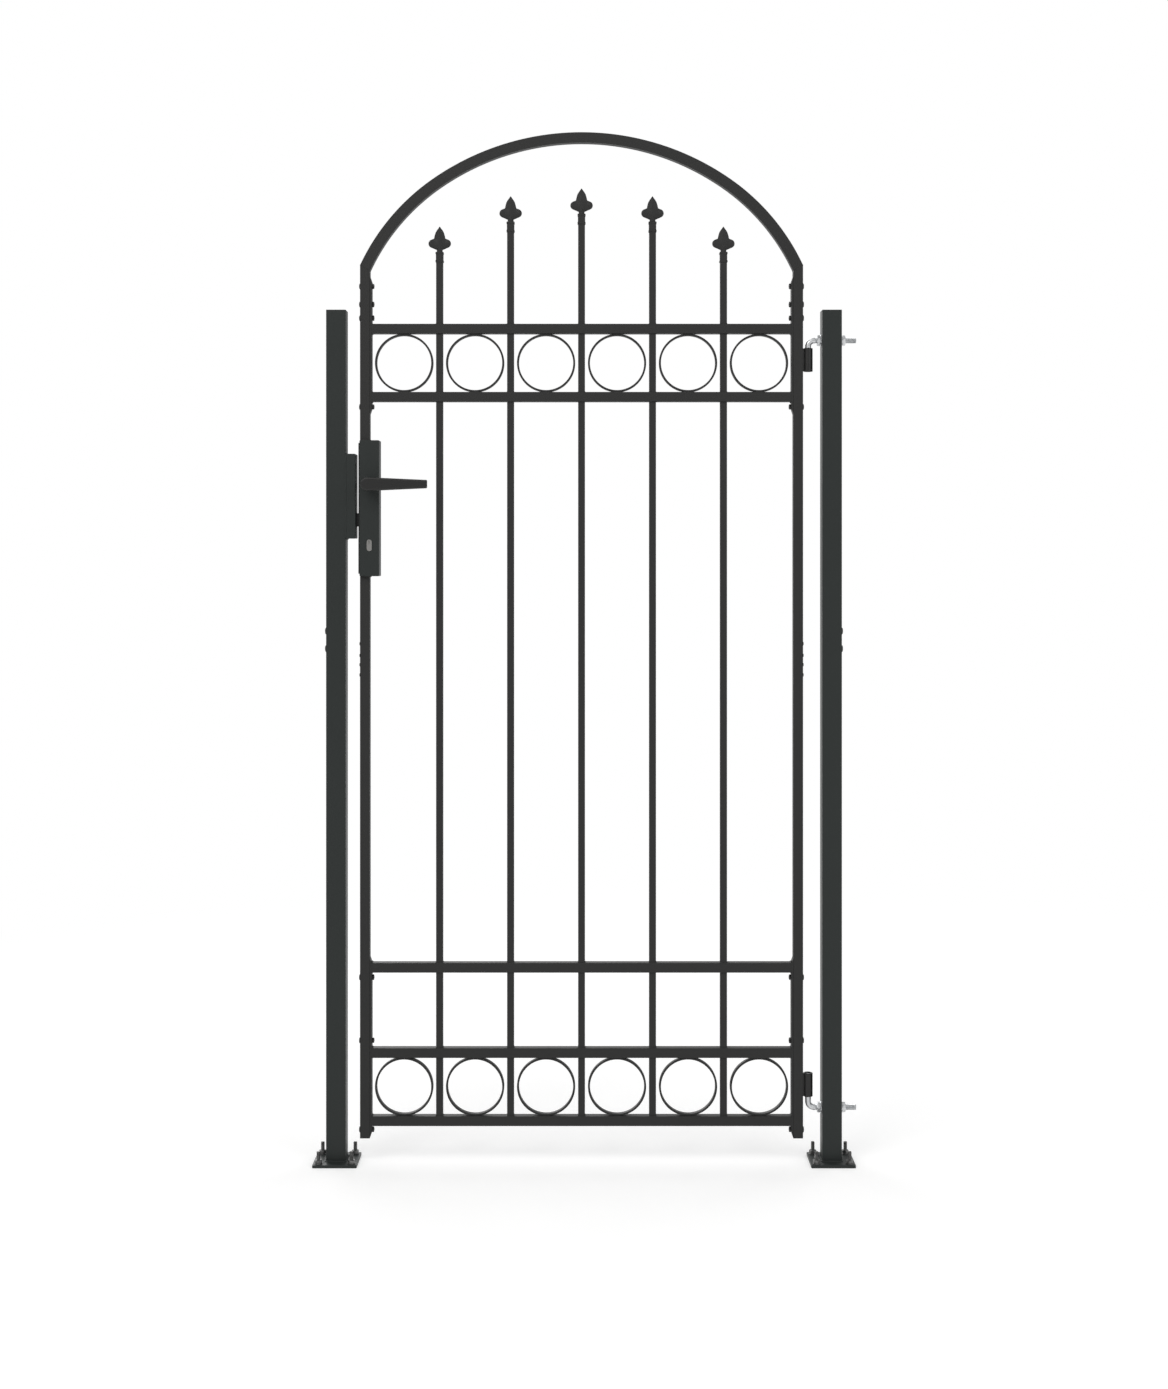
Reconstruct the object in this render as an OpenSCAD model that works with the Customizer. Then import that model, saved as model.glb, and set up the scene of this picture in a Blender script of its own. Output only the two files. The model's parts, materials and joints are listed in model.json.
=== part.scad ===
// Pedestrian gate: an arched steel leaf with bars, rings and spear points, hung between
// two square posts that stand on bolted foot plates.
// Origin: centre of the underside of the hinge post's foot plate, at ground level.
// +X runs to the right as seen from the front, +Y away from the viewer, +Z up.
// The leaf is shut; the latch post is on the -X side.

/* [Posts] */
// Side of the square post tube
post_w = 40; // [36:1:50]
// Wall of the post tube
post_wall = 1.5; // [1:0.5:3]
// Height of a post with its cap
post_h = 1740; // [1720:5:1900]
// Clear opening between the posts
opening_w = 970; // [950:5:1000]
// Side of the square foot plate
plate_w = 90; // [86:1:110]
// Thickness of the foot plate
plate_t = 6; // [4:1:10]
// Distance between the anchor studs of one plate
stud_spacing = 67; // [64:1:70]
// Diameter of an anchor stud
stud_d = 8; // [6:1:10]
// Height of the top of an anchor stud
stud_top = 31; // [24:1:40]
// Heights of the two bolts in the outer face of each post
post_bolt_z = [1085, 1049]; // [1000:1:1200]

/* [Leaf frame] */
// Gap from the latch post to the stile
latch_gap = 28; // [28:1:30]
// Gap from the hinge post to the stile
hinge_gap = 38; // [38:1:42]
// Height of the underside of the stiles
leaf_bottom = 50; // [45:1:60]
// Side of the square frame tube
tube_w = 20; // [18:1:20]
// Wall of the frame tube
tube_wall = 1.2; // [1:0.1:2]
// Height of the outer corner where stile and arch meet
spring_z = 1832; // [1825:1:1840]
// Thickness of the flat straps that carry the rails
strap_t = 4; // [3:0.5:5]

/* [Arch] */
// Rise of the arch above its outer corners
arch_rise = 271; // [265:1:275]
// Outer radius of the crown
crown_r = 532; // [525:1:540]
// Angle from the crown at which the tighter haunches start
haunch_start = 35; // [30:1:38]
// Depth of the arch tube at the crown
crown_depth = 21; // [20:0.5:22]
// Inner radius of the crown
crown_inner_r = 505; // [500:1:510]
// Drop of the mitred corner from its outer to its inner end
mitre_drop = 11.5; // [10:0.5:13]

/* [Rails, bars and rings] */
// Height of the middle of the top rail
top_rail_z = 1702; // [1700:0.5:1710]
// Height of the middle of the third rail
third_rail_z = 398; // [390:1:410]
// Height of the middle of the bottom rail
bottom_rail_z = 85; // [80:1:90]
// Outer diameter of a ring
ring_d = 119; // [117:1:120]
// Thickness of the ring strip
ring_t = 4; // [2:0.5:5]
// Width of the ring strip
ring_w = 12; // [8:1:16]
// Side of the square bars
bar_w = 14; // [12:1:15]
// Wall of the bar tube
bar_wall = 1; // [0.8:0.1:1.5]
// Heights of the five spear tips
tip_z = [1912, 1974, 1990, 1974, 1912]; // [1900:1:2000]

/* [Hinges] */
// Distance of the hinge axis from the stile
hinge_offset = 11; // [11:0.5:12]
// Outer diameter of a hinge barrel
barrel_d = 19; // [18:0.5:20]
// Length of a hinge barrel
barrel_h = 48; // [40:1:50]
// Heights of the middles of the lower and upper barrels
barrel_z = [158, 1639]; // [120:1:1660]
// Diameter of a hinge pin
pin_d = 12; // [10:1:12]
// Heights of the legs of the lower and upper pins that cross the post
pin_z = [111.5, 1678.5]; // [100:0.5:1690]
// Length of a pin beyond the outer face of the post
pin_tail = 31; // [25:1:35]

/* [Lock] */
// Side of the square lock case
case_w = 40; // [40:1:42]
// Height of the lower end of the lock case
case_z0 = 1197; // [1190:1:1205]
// Length of the lock case
case_h = 277; // [270:1:280]
// Height of the lever axis
lever_z = 1383; // [1375:1:1390]
// Length of a lever from its axis to its tip
lever_len = 121; // [110:1:125]
// Height of the middle of the latch bolt
bolt_z = 1312; // [1300:1:1320]
// Distance that the shut bolt reaches beyond the forend
bolt_throw = 18; // [16:1:18]
// Height of the middle of the key cylinder
key_z = 1260; // [1255:1:1265]

/* [Hidden] */

$fn = 64;
arc_steps = 20;
paint = [0.21, 0.22, 0.22];
paint_dark = [0.11, 0.11, 0.11];
zinc = [0.72, 0.73, 0.74];

// posts and feet
latch_post_x = -(opening_w + post_w);
post_xs = [latch_post_x, 0];
post_in = post_w / 2;
cap_t = 2;
cap_plug = 12;
washer_d = 16;
washer_t = 1.6;
stud_nut_af = 13;
stud_nut_h = 6.5;
post_bolt_d = 16;
post_bolt_h = 4;
post_bolt_shank = 8;
post_bolt_grip = 4.5;

// leaf outline
leaf_x0 = latch_post_x + post_in + latch_gap;
leaf_x1 = -post_in - hinge_gap;
leaf_mid = (leaf_x0 + leaf_x1) / 2;
half_w = (leaf_x1 - leaf_x0) / 2;
apex_z = spring_z + arch_rise;
rail_len = 2 * (half_w - tube_w - strap_t);
rail_zs = [top_rail_z, top_rail_z - ring_d - tube_w, third_rail_z,
    bottom_rail_z + ring_d + tube_w, bottom_rail_z];
ring_gap = (rail_len - 6 * ring_d - 5 * bar_w) / 12;
pitch = ring_d + bar_w + 2 * ring_gap;
bar_z0 = bottom_rail_z + tube_w / 2;
spear_h = 74;
blade_t = 9;
blade_h = 49;
neck_w = 13;
// One side of a blade with its lobe, from just under the tip down
half_blade = [[3.6, -4.5], [7.4, -10], [9.6, -14.5], [11, -20], [12, -24.5], [15, -26],
    [19.4, -27.8], [21.8, -30.2], [23, -34], [23, -37], [21.8, -40.3], [19.4, -42.6],
    [14, -45], [10, -46.8], [neck_w / 2, -blade_h]];
socket_w = 15;
socket_h = 21;
collar_w = 16.5;
collar_h = 4.5;
strap_spans = [[leaf_bottom, 418], [1528, 1809]];
strap_taper = 12;
frame_bolt_zs = [66, 248, 377, 1543, 1724.5, 1752.5, 1789.5];
frame_bolt_d = 6;
bolt_head_d = 13;
bolt_head_h = 2.5;
frame_nut_af = 10;
frame_nut_h = 4;
thread_end = 0.6;
splice_zs = [995, 1016, 1035, 1059];
screw_head_d = 8;
screw_head_h = 2;
screw_d = 5;
screw_len = 12;

// hinges
hinge_x = leaf_x1 + hinge_offset;
pin_bend_r = 12;
pin_clear = 0.2;
pin_inset = 2;
pin_nut_af = 19;
pin_nut_h = 7;
pin_washer_d = 24;
pin_washer_t = 2;
web_w = 10;

// lock
case_mid = leaf_x0 + case_w / 2;
case_wall = 1.5;
forend_t = 3;
forend_w = 24;
forend_inset = 5;
keep_gap = 5;
keep_len = 172.5;
keep_mid_z = 1360;
keep_wall = 2;
bolt_w = 12;
bolt_h = 27;
bolt_len = 36;
bolt_clear = 1;
neck_d = 18;
neck_clear = 0.2;
neck_in = 3;
lever_root_d = 28;
lever_tip_h = 17;
lever_t = 12;
lever_out = 46;
knob_d = 32;
knob_out = 38;
spindle_w = 8;
key_w = 10.8;
key_h = 24;
key_out = 2;

// Radius of the haunch that leaves the crown tangentially and ends at a point:
// r crown radius, top height of the crown, end the point, all from the spring line
function haunch_r(r, top, end) =
    let (n = [sin(haunch_start), cos(haunch_start)],
         d = end - [r * n[0], top - r + r * n[1]])
    -(d * d) / (2 * (d * n));

// Diameter of the circle around a hexagon, from its width across flats
function across_corners(af) = af / cos(30);

// A flat outline in the X-Z plane, given its thickness along Y
module slab_xz(t) {
    rotate([90, 0, 0]) linear_extrude(t, center = true) children();
}

// A block from its lower corner to its upper corner
module block(a, b) {
    translate(a) cube(b - a);
}

// A round rod along X
module rod_x(d, x0, x1) {
    translate([x0, 0, 0]) rotate([0, 90, 0]) cylinder(d = d, h = x1 - x0);
}

// A hexagon nut along X
module nut_x(af, x0, x1) {
    translate([x0, 0, 0]) rotate([0, 90, 0])
        cylinder(d = across_corners(af), h = x1 - x0, $fn = 6);
}

// Points along an arc, with its angles measured from straight up
function arc_points(centre, r, a0, a1, steps) =
    [for (i = [0:steps]) let (a = a0 + (a1 - a0) * i / steps) centre + r * [sin(a), cos(a)]];

// Half of a three-centred curve moved out by a distance, from the crown past its end
function half_curve(r, top, end, by) =
    let (n = [sin(haunch_start), cos(haunch_start)],
         rh = haunch_r(r, top, end),
         crown = [0, top - r],
         haunch = crown + (r - rh) * n,
         end_angle = atan2(end[0] - haunch[0], end[1] - haunch[1]))
    concat(arc_points(crown, r + by, 0, haunch_start, arc_steps),
        arc_points(haunch, rh + by, haunch_start + 1, end_angle, arc_steps),
        [haunch + (rh + by) * [sin(end_angle + 3), cos(end_angle + 3)]]);

// The whole curve from right to left
function whole_curve(half) =
    concat([for (i = [len(half) - 1:-1:1]) half[i]], [for (p = half) [-p[0], p[1]]]);

// The arch between its two curves, cut at the mitres and thinned by a wall
module arch_outline(wall) {
    outer = whole_curve(half_curve(crown_r, arch_rise, [half_w, 0], -wall));
    inner = whole_curve(half_curve(crown_inner_r, arch_rise - crown_depth,
        [half_w - tube_w, -mitre_drop], wall));
    slope = mitre_drop / tube_w;
    far = half_w; // any reach well past the outline
    intersection() {
        polygon(concat(outer, [for (i = [len(inner) - 1:-1:0]) inner[i]]));
        polygon([[half_w + far, slope * far], [0, -slope * half_w],
            [-half_w - far, slope * far], [-half_w, far], [half_w, far]]);
    }
}

module post(i) {
    translate([post_xs[i], 0, 0]) difference() {
        block([-post_in, -post_in, plate_t], [post_in, post_in, post_h - cap_t]);
        block([-post_in + post_wall, -post_in + post_wall, plate_t - 1],
            [post_in - post_wall, post_in - post_wall, post_h]);
        for (z = post_bolt_z) translate([0, 0, z]) mirror([1 - i, 0, 0])
            rod_x(post_bolt_shank, 0, post_w);
        if (i == 1) for (z = pin_z) translate([0, 0, z])
            rod_x(pin_d + 2 * pin_clear, -post_w, post_w);
    }
}

module latch_post() { color(paint) post(0); }

module hinge_post() { color(paint) post(1); }

module post_caps() {
    plug_in = post_in - post_wall;
    color(paint_dark) for (x = post_xs) translate([x, 0, 0]) {
        block([-post_in, -post_in, post_h - cap_t], [post_in, post_in, post_h]);
        block([-plug_in, -plug_in, post_h - cap_plug], [plug_in, plug_in, post_h - cap_t]);
    }
}

// Places its children at the four anchor studs of one plate
module at_studs(x) {
    for (sx = [-1, 1], sy = [-1, 1])
        translate([x + sx * stud_spacing / 2, sy * stud_spacing / 2, 0]) children();
}

module foot_plate(x) {
    difference() {
        block([x - plate_w / 2, -plate_w / 2, 0], [x + plate_w / 2, plate_w / 2, plate_t]);
        at_studs(x) translate([0, 0, -1]) cylinder(d = stud_d, h = plate_t + 2);
    }
}

module latch_foot_plate() { color(paint) foot_plate(latch_post_x); }

module hinge_foot_plate() { color(paint) foot_plate(0); }

module anchor_studs() {
    color(zinc) for (x = post_xs) at_studs(x) cylinder(d = stud_d, h = stud_top);
}

module anchor_nuts() {
    color(zinc) for (x = post_xs) at_studs(x) difference() {
        union() {
            translate([0, 0, plate_t]) cylinder(d = washer_d, h = washer_t);
            translate([0, 0, plate_t + washer_t])
                cylinder(d = across_corners(stud_nut_af), h = stud_nut_h, $fn = 6);
        }
        translate([0, 0, plate_t - 1]) cylinder(d = stud_d, h = stud_top);
    }
}

module post_bolts() {
    color(paint_dark) for (i = [0, 1], z = post_bolt_z)
        translate([post_xs[i], 0, z]) mirror([1 - i, 0, 0]) {
            rod_x(post_bolt_d, post_in, post_in + post_bolt_h);
            rod_x(post_bolt_shank, post_in - post_bolt_grip, post_in);
        }
}

// The room that the bolt needs, grown by a clearance
module bolt_room(x0, x1, clear) {
    block([x0, -bolt_w / 2 - clear, bolt_z - bolt_h / 2 - clear],
        [x1, bolt_w / 2 + clear, bolt_z + bolt_h / 2 + clear]);
}

module keep() {
    x0 = latch_post_x + post_in;
    x1 = leaf_x0 - forend_t - keep_gap;
    z0 = keep_mid_z - keep_len / 2;
    z1 = keep_mid_z + keep_len / 2;
    color(paint) difference() {
        block([x0, -post_in, z0], [x1, post_in, z1]);
        block([x0 - 1, -post_in + keep_wall, z0 + keep_wall],
            [x1 - keep_wall, post_in - keep_wall, z1 - keep_wall]);
        bolt_room(x1 - keep_wall - 1, x1 + 1, 2 * bolt_clear);
    }
}

// An L-shaped pin: a leg in the barrel, a bend, and a leg through the post
module hinge_pin(leg) {
    reach = post_in + pin_tail - hinge_x;
    translate([0, 0, -leg]) cylinder(d = pin_d, h = leg - pin_bend_r);
    translate([pin_bend_r, 0, -pin_bend_r]) rotate([90, 0, 0]) rotate([0, 0, 90])
        rotate_extrude(angle = 90) translate([pin_bend_r, 0]) circle(d = pin_d);
    rod_x(pin_d, pin_bend_r, reach);
}

module upper_hinge_pin() {
    color(zinc) translate([hinge_x, 0, pin_z[1]])
        hinge_pin(pin_z[1] - barrel_z[1] + barrel_h / 2 - pin_inset);
}

module lower_hinge_pin() {
    color(zinc) translate([hinge_x, 0, pin_z[0]]) mirror([0, 0, 1])
        hinge_pin(barrel_z[0] - pin_z[0] + barrel_h / 2 - pin_inset);
}

module hinge_pin_nuts() {
    color(zinc) for (z = pin_z, side = [-1, 1])
        translate([0, 0, z]) mirror([side < 0 ? 1 : 0, 0, 0]) difference() {
            union() {
                rod_x(pin_washer_d, post_in, post_in + pin_washer_t);
                nut_x(pin_nut_af, post_in + pin_washer_t,
                    post_in + pin_washer_t + pin_nut_h);
            }
            rod_x(pin_d, post_in - 1, post_w);
        }
}

// Cuts the holes of the frame bolts, and of the splice screws in the outer wall only
module stile_holes(x0) {
    for (z = frame_bolt_zs) translate([0, 0, z])
        rod_x(frame_bolt_d, x0 - 1, x0 + tube_w + 1);
    x_out = x0 < leaf_mid ? x0 : x0 + tube_w;
    for (z = splice_zs) translate([0, 0, z])
        rod_x(screw_d, x_out - tube_wall - 1, x_out + tube_wall + 1);
}

// A hollow length of stile, closed by the foot wall and open at the top
module stile(x0, z0, z1) {
    difference() {
        block([x0, -tube_w / 2, z0], [x0 + tube_w, tube_w / 2, z1]);
        block([x0 + tube_wall, -tube_w / 2 + tube_wall, z0 + tube_wall],
            [x0 + tube_w - tube_wall, tube_w / 2 - tube_wall, z1 + 1]);
        stile_holes(x0);
    }
}

// Takes off everything above the mitre; side is -1 for the latch stile
module mitred(side) {
    x_out = leaf_mid + side * half_w;
    x_in = x_out - side * tube_w;
    difference() {
        children();
        slab_xz(2 * tube_w) polygon([[x_out + side * tube_w, spring_z + mitre_drop],
            [x_in - side * tube_w, spring_z - 2 * mitre_drop],
            [x_in - side * tube_w, apex_z], [x_out + side * tube_w, apex_z]]);
    }
}

module latch_stile_lower() { color(paint) stile(leaf_x0, leaf_bottom, case_z0); }

module latch_stile_upper() {
    color(paint) mitred(-1) stile(leaf_x0, case_z0 + case_h, spring_z);
}

module hinge_stile() {
    color(paint) mitred(1) stile(leaf_x1 - tube_w, leaf_bottom, spring_z);
}

module arch() {
    color(paint) translate([leaf_mid, 0, spring_z]) difference() {
        slab_xz(tube_w) arch_outline(0);
        slab_xz(tube_w - 2 * tube_wall) arch_outline(tube_wall);
    }
}

function bar_x(i) = leaf_mid + (i - 2) * pitch;

module rail(z, punched) {
    x0 = leaf_mid - rail_len / 2;
    h = tube_w / 2;
    color(paint) difference() {
        block([x0, -h, z - h], [x0 + rail_len, h, z + h]);
        block([x0 - 1, -h + tube_wall, z - h + tube_wall],
            [x0 + rail_len + 1, h - tube_wall, z + h - tube_wall]);
        if (punched) for (i = [0:4])
            block([bar_x(i) - bar_w / 2, -bar_w / 2, z - h - 1],
                [bar_x(i) + bar_w / 2, bar_w / 2, z + h + 1]);
    }
}

module rail_1() { rail(rail_zs[0], true); }

module rail_2() { rail(rail_zs[1], true); }

module rail_3() { rail(rail_zs[2], true); }

module rail_4() { rail(rail_zs[3], true); }

module rail_5() { rail(rail_zs[4], false); }

module bar(i) {
    h = bar_w / 2;
    color(paint) translate([bar_x(i), 0, 0]) difference() {
        block([-h, -h, bar_z0], [h, h, tip_z[i] - spear_h]);
        block([-h + bar_wall, -h + bar_wall, bar_z0 - 1],
            [h - bar_wall, h - bar_wall, tip_z[i]]);
    }
}

module bar_1() { bar(0); }

module bar_2() { bar(1); }

module bar_3() { bar(2); }

module bar_4() { bar(3); }

module bar_5() { bar(4); }

// A spear point: a flat blade, a neck, and a socket between two collars; its tip is at the origin
module spear_point() {
    slab_xz(blade_t) polygon(concat([[0, 0]], half_blade,
        [for (i = [len(half_blade) - 1:-1:0]) [-half_blade[i][0], half_blade[i][1]]]));
    translate([0, 0, -spear_h]) {
        block([-socket_w / 2, -socket_w / 2, 0], [socket_w / 2, socket_w / 2, socket_h]);
        for (z = [0, socket_h - collar_h])
            block([-collar_w / 2, -collar_w / 2, z], [collar_w / 2, collar_w / 2, z + collar_h]);
        translate([0, 0, socket_h]) cylinder(d = neck_w, h = spear_h - socket_h - blade_h);
    }
}

module spear_points() {
    color(paint) for (i = [0:4]) translate([bar_x(i), 0, tip_z[i]]) spear_point();
}

module ring_row(z) {
    color(paint) for (i = [0:5])
        translate([leaf_mid + (i - 2.5) * pitch, 0, z]) slab_xz(ring_w) difference() {
            circle(d = ring_d, $fn = 128);
            circle(d = ring_d - 2 * ring_t, $fn = 128);
        }
}

module upper_rings() { ring_row((rail_zs[0] + rail_zs[1]) / 2); }

module lower_rings() { ring_row((rail_zs[3] + rail_zs[4]) / 2); }

module frame_straps() {
    color(paint) for (side = [-1, 1], span = strap_spans) {
        x_face = leaf_mid + side * (half_w - tube_w);
        x_in = x_face - side * strap_t;
        difference() {
            slab_xz(tube_w) polygon([[x_face, span[0]], [x_in, span[0] + strap_taper],
                [x_in, span[1] - strap_taper], [x_face, span[1]]]);
            for (z = frame_bolt_zs) translate([leaf_mid, 0, z])
                rod_x(frame_bolt_d, -half_w, half_w);
        }
    }
}

// A bolt through stile and strap, head outside, nut inside, along +X from the leaf's edge
module frame_bolt() {
    inside = -tube_w - strap_t;
    rod_x(bolt_head_d, 0, bolt_head_h);
    rod_x(frame_bolt_d, inside - frame_nut_h - thread_end, 0);
    nut_x(frame_nut_af, inside - frame_nut_h, inside);
}

module frame_bolts() {
    color(paint_dark) for (side = [-1, 1], z = frame_bolt_zs)
        translate([leaf_mid, 0, z]) mirror([side < 0 ? 1 : 0, 0, 0])
            translate([half_w, 0, 0]) frame_bolt();
}

module splice_screws() {
    color(paint_dark) for (side = [-1, 1], z = splice_zs)
        translate([leaf_mid, 0, z]) mirror([side < 0 ? 1 : 0, 0, 0])
            translate([half_w, 0, 0]) {
                rod_x(screw_head_d, 0, screw_head_h);
                rod_x(screw_d, -screw_len, 0);
            }
}

module hinge_barrel(z) {
    color(paint_dark) translate([hinge_x, 0, z - barrel_h / 2]) difference() {
        union() {
            cylinder(d = barrel_d, h = barrel_h);
            block([-hinge_offset, -web_w / 2, 0], [0, web_w / 2, barrel_h]);
        }
        translate([0, 0, -1]) cylinder(d = pin_d + 2 * pin_clear, h = barrel_h + 2);
    }
}

module upper_hinge_barrel() { hinge_barrel(barrel_z[1]); }

module lower_hinge_barrel() { hinge_barrel(barrel_z[0]); }

// Outline of the key cylinder: a narrow slot shape with round ends
module key_outline() {
    flat = key_h - key_w;
    square([key_w, flat], center = true);
    for (side = [-1, 1]) translate([0, side * flat / 2]) circle(d = key_w);
}

module lock_case() {
    z1 = case_z0 + case_h;
    h = case_w / 2;
    color(paint) difference() {
        block([leaf_x0, -h, case_z0], [leaf_x0 + case_w, h, z1]);
        block([leaf_x0 + case_wall, -h + case_wall, case_z0 + case_wall],
            [leaf_x0 + case_w - case_wall, h - case_wall, z1 - case_wall]);
        translate([case_mid, 0, lever_z]) rotate([90, 0, 0])
            cylinder(d = neck_d + 2 * neck_clear, h = 2 * case_w, center = true);
        translate([case_mid, 0, key_z]) slab_xz(2 * case_w) key_outline();
        bolt_room(leaf_x0 - 1, leaf_x0 + case_wall + 1, bolt_clear);
    }
}

module lock_forend() {
    color(paint_dark) difference() {
        block([leaf_x0 - forend_t, -forend_w / 2, case_z0 + forend_inset],
            [leaf_x0, forend_w / 2, case_z0 + case_h - forend_inset]);
        bolt_room(leaf_x0 - forend_t - 1, leaf_x0 + 1, bolt_clear);
    }
}

module key_cylinder() {
    color(zinc) translate([case_mid, 0, key_z]) slab_xz(case_w + 2 * key_out) key_outline();
}

// A round neck and a flat tapered grip
module front_lever() {
    face = case_w / 2;
    grip_y = face + lever_out - lever_t / 2;
    color(paint_dark) translate([case_mid, 0, lever_z]) {
        rotate([90, 0, 0]) translate([0, 0, face - neck_in])
            cylinder(d = neck_d, h = lever_out - lever_t + neck_in);
        translate([0, -grip_y, 0]) slab_xz(lever_t) {
            circle(d = lever_root_d);
            polygon([[0, lever_root_d / 2], [lever_len, lever_tip_h / 2],
                [lever_len, -lever_tip_h / 2], [0, -lever_root_d / 2]]);
        }
    }
}

// A turned knob on the far side: a neck that flares into a flat-domed grip
module back_knob() {
    face = case_w / 2;
    end = face + knob_out;
    r = knob_d / 2;
    color(paint_dark) translate([case_mid, 0, lever_z]) rotate([-90, 0, 0])
        rotate_extrude() polygon([[0, face - neck_in], [neck_d / 2, face - neck_in],
            [neck_d / 2, end - r], [r, end - r * 3 / 4], [r, end - r / 3],
            [r * 3 / 4, end - r / 8], [0, end]]);
}

module handle_spindle() {
    s = spindle_w / 2;
    reach = case_w / 2 - neck_in;
    color(zinc) translate([case_mid, 0, lever_z]) block([-s, -reach, -s], [s, reach, s]);
}

module latch_bolt() {
    x0 = leaf_x0 - forend_t - bolt_throw;
    color(paint_dark) bolt_room(x0, x0 + bolt_len, 0);
}

latch_post();
hinge_post();
post_caps();
latch_foot_plate();
hinge_foot_plate();
anchor_studs();
anchor_nuts();
post_bolts();
keep();
upper_hinge_pin();
lower_hinge_pin();
hinge_pin_nuts();
latch_stile_lower();
latch_stile_upper();
hinge_stile();
arch();
rail_1();
rail_2();
rail_3();
rail_4();
rail_5();
bar_1();
bar_2();
bar_3();
bar_4();
bar_5();
spear_points();
upper_rings();
lower_rings();
frame_straps();
frame_bolts();
splice_screws();
upper_hinge_barrel();
lower_hinge_barrel();
lock_case();
lock_forend();
key_cylinder();
front_lever();
back_knob();
handle_spindle();
latch_bolt();
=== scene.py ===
"""Looks of an arched steel pedestrian gate, built round its packed frame."""
import json
import math

import bmesh
import bpy
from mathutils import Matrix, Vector


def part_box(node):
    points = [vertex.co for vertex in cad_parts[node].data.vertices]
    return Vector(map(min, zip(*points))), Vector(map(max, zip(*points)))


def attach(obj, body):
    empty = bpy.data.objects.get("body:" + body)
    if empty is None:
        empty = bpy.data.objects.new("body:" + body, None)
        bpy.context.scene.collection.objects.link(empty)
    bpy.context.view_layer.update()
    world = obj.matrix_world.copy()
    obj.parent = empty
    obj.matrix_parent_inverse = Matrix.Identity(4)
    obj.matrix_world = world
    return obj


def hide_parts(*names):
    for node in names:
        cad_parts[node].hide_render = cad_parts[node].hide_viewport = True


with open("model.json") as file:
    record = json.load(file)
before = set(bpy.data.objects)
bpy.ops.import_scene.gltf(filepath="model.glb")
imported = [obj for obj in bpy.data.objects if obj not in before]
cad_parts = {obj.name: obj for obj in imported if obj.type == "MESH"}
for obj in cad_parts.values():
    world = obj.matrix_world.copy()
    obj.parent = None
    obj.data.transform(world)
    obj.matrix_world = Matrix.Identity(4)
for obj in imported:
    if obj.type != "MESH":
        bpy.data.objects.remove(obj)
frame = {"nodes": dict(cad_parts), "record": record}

bl_info = {
    "name": "Pedestrian Gate",
    "version": (1, 0, 0),
    "blender": (4, 5, 0),
    "location": "View3D > Sidebar > Gate",
    "description": "Builds the tubes, castings, fixings, welds and finishes of an arched gate",
    "category": "Object",
}

MM = 0.001
TURN = 2 * math.pi
CORNER_STEPS = 5                  # segments in a rounded corner
HOLE_STEPS = 20                   # segments round a bolt hole in the leaf
ROD_STEPS = 24                    # segments round a threaded rod or a petal
SCREW_STEPS = 28                  # segments round a screw in the forend
ROUND_STEPS = 32                  # segments round most other turned things
HEX_STEPS = 48                    # segments round a nut or a head, a multiple of twelve
FINE_STEPS = 64                   # segments round the lever and the knob
SHARP_ANGLE = math.radians(32)    # edges sharper than this stay sharp
EASE = 0.2 * MM                   # clearance round a pin or a bolt in its hole
SNUG = 0.1 * MM                   # clearance of a punched hole
THROUGH = 30 * MM                 # half length of a cutter that goes right through
ON_FACE = 0.1 * MM                # how near a point lies to the face that it is on
ORIGIN = Vector((0, 0, 0))
UP = Vector((0, 0, 1))
LAMP_AIM = Vector((-0.5, 0, 1.0))  # the middle of the gate, at which the lamps point
NUMBERS = range(1, 6)             # as in the names of the five rails and of the five bars
PINS = ("upper_hinge_pin", "lower_hinge_pin")
BARRELS = ("upper_hinge_barrel", "lower_hinge_barrel")
RINGS = ("upper_rings", "lower_rings")


# Properties

def length(name, millimetres, description):
    """A length property, given its default in millimetres."""
    return bpy.props.FloatProperty(
        name=name, description=description, default=millimetres * MM, min=0.0,
        unit="LENGTH", subtype="DISTANCE", precision=5)


def share(name, default, description):
    """A property from 0 to 1."""
    return bpy.props.FloatProperty(
        name=name, description=description, default=default, min=0.0, max=1.0,
        subtype="FACTOR", precision=3)


def tint(name, default, description):
    """A linear colour property."""
    return bpy.props.FloatVectorProperty(
        name=name, description=description, default=default, size=3, min=0.0, max=1.0,
        subtype="COLOR")


class GateTubes(bpy.types.PropertyGroup):
    """Corners and walls of the tubes, plates and flats."""
    post_corner: length("Post corner", 1.8, "Outer corner radius of the post tube")
    post_wall: length("Post wall", 1.5, "Wall of the post tube")
    frame_corner: length("Frame corner", 1.2, "Outer corner radius of the frame tube")
    frame_wall: length("Frame wall", 1.2, "Wall of the frame tube")
    bar_corner: length("Bar corner", 0.8, "Outer corner radius of the bars")
    bar_wall: length("Bar wall", 1.0, "Wall of the bars")
    plate_corner: length("Plate corner", 2.0, "Corner radius of the foot plates")
    lip: length("Tube lip", 0.3, "Least inner corner of a tube, and break of a closed end")
    strap_taper: length("Strap taper", 12, "Slope at the ends of the frame straps")
    cut_edge: length("Cut edge", 0.4, "Break on the edges of cut plates and flats")
    cap_crown: length("Cap crown", 0.5, "Rise of the post caps towards their middle")
    cap_edge: length("Cap edge", 0.4, "Radius on the upper edge of the post caps")


class GateArch(bpy.types.PropertyGroup):
    """Curve of the arch, as the frame has it."""
    spring: length("Spring height", 1832, "Height of the outer corners of the arch")
    crown_radius: length("Crown radius", 532, "Outer radius of the crown")
    crown_inner: length("Inner crown radius", 505, "Inner radius of the crown")
    crown_depth: length("Crown depth", 21, "Depth of the arch tube at the crown")
    mitre_drop: length("Mitre drop", 11.5, "Fall of the mitre across the tube")
    haunch: bpy.props.FloatProperty(
        name="Haunch start", description="Angle from the crown at which the haunches start",
        default=math.radians(35), subtype="ANGLE")


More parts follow.
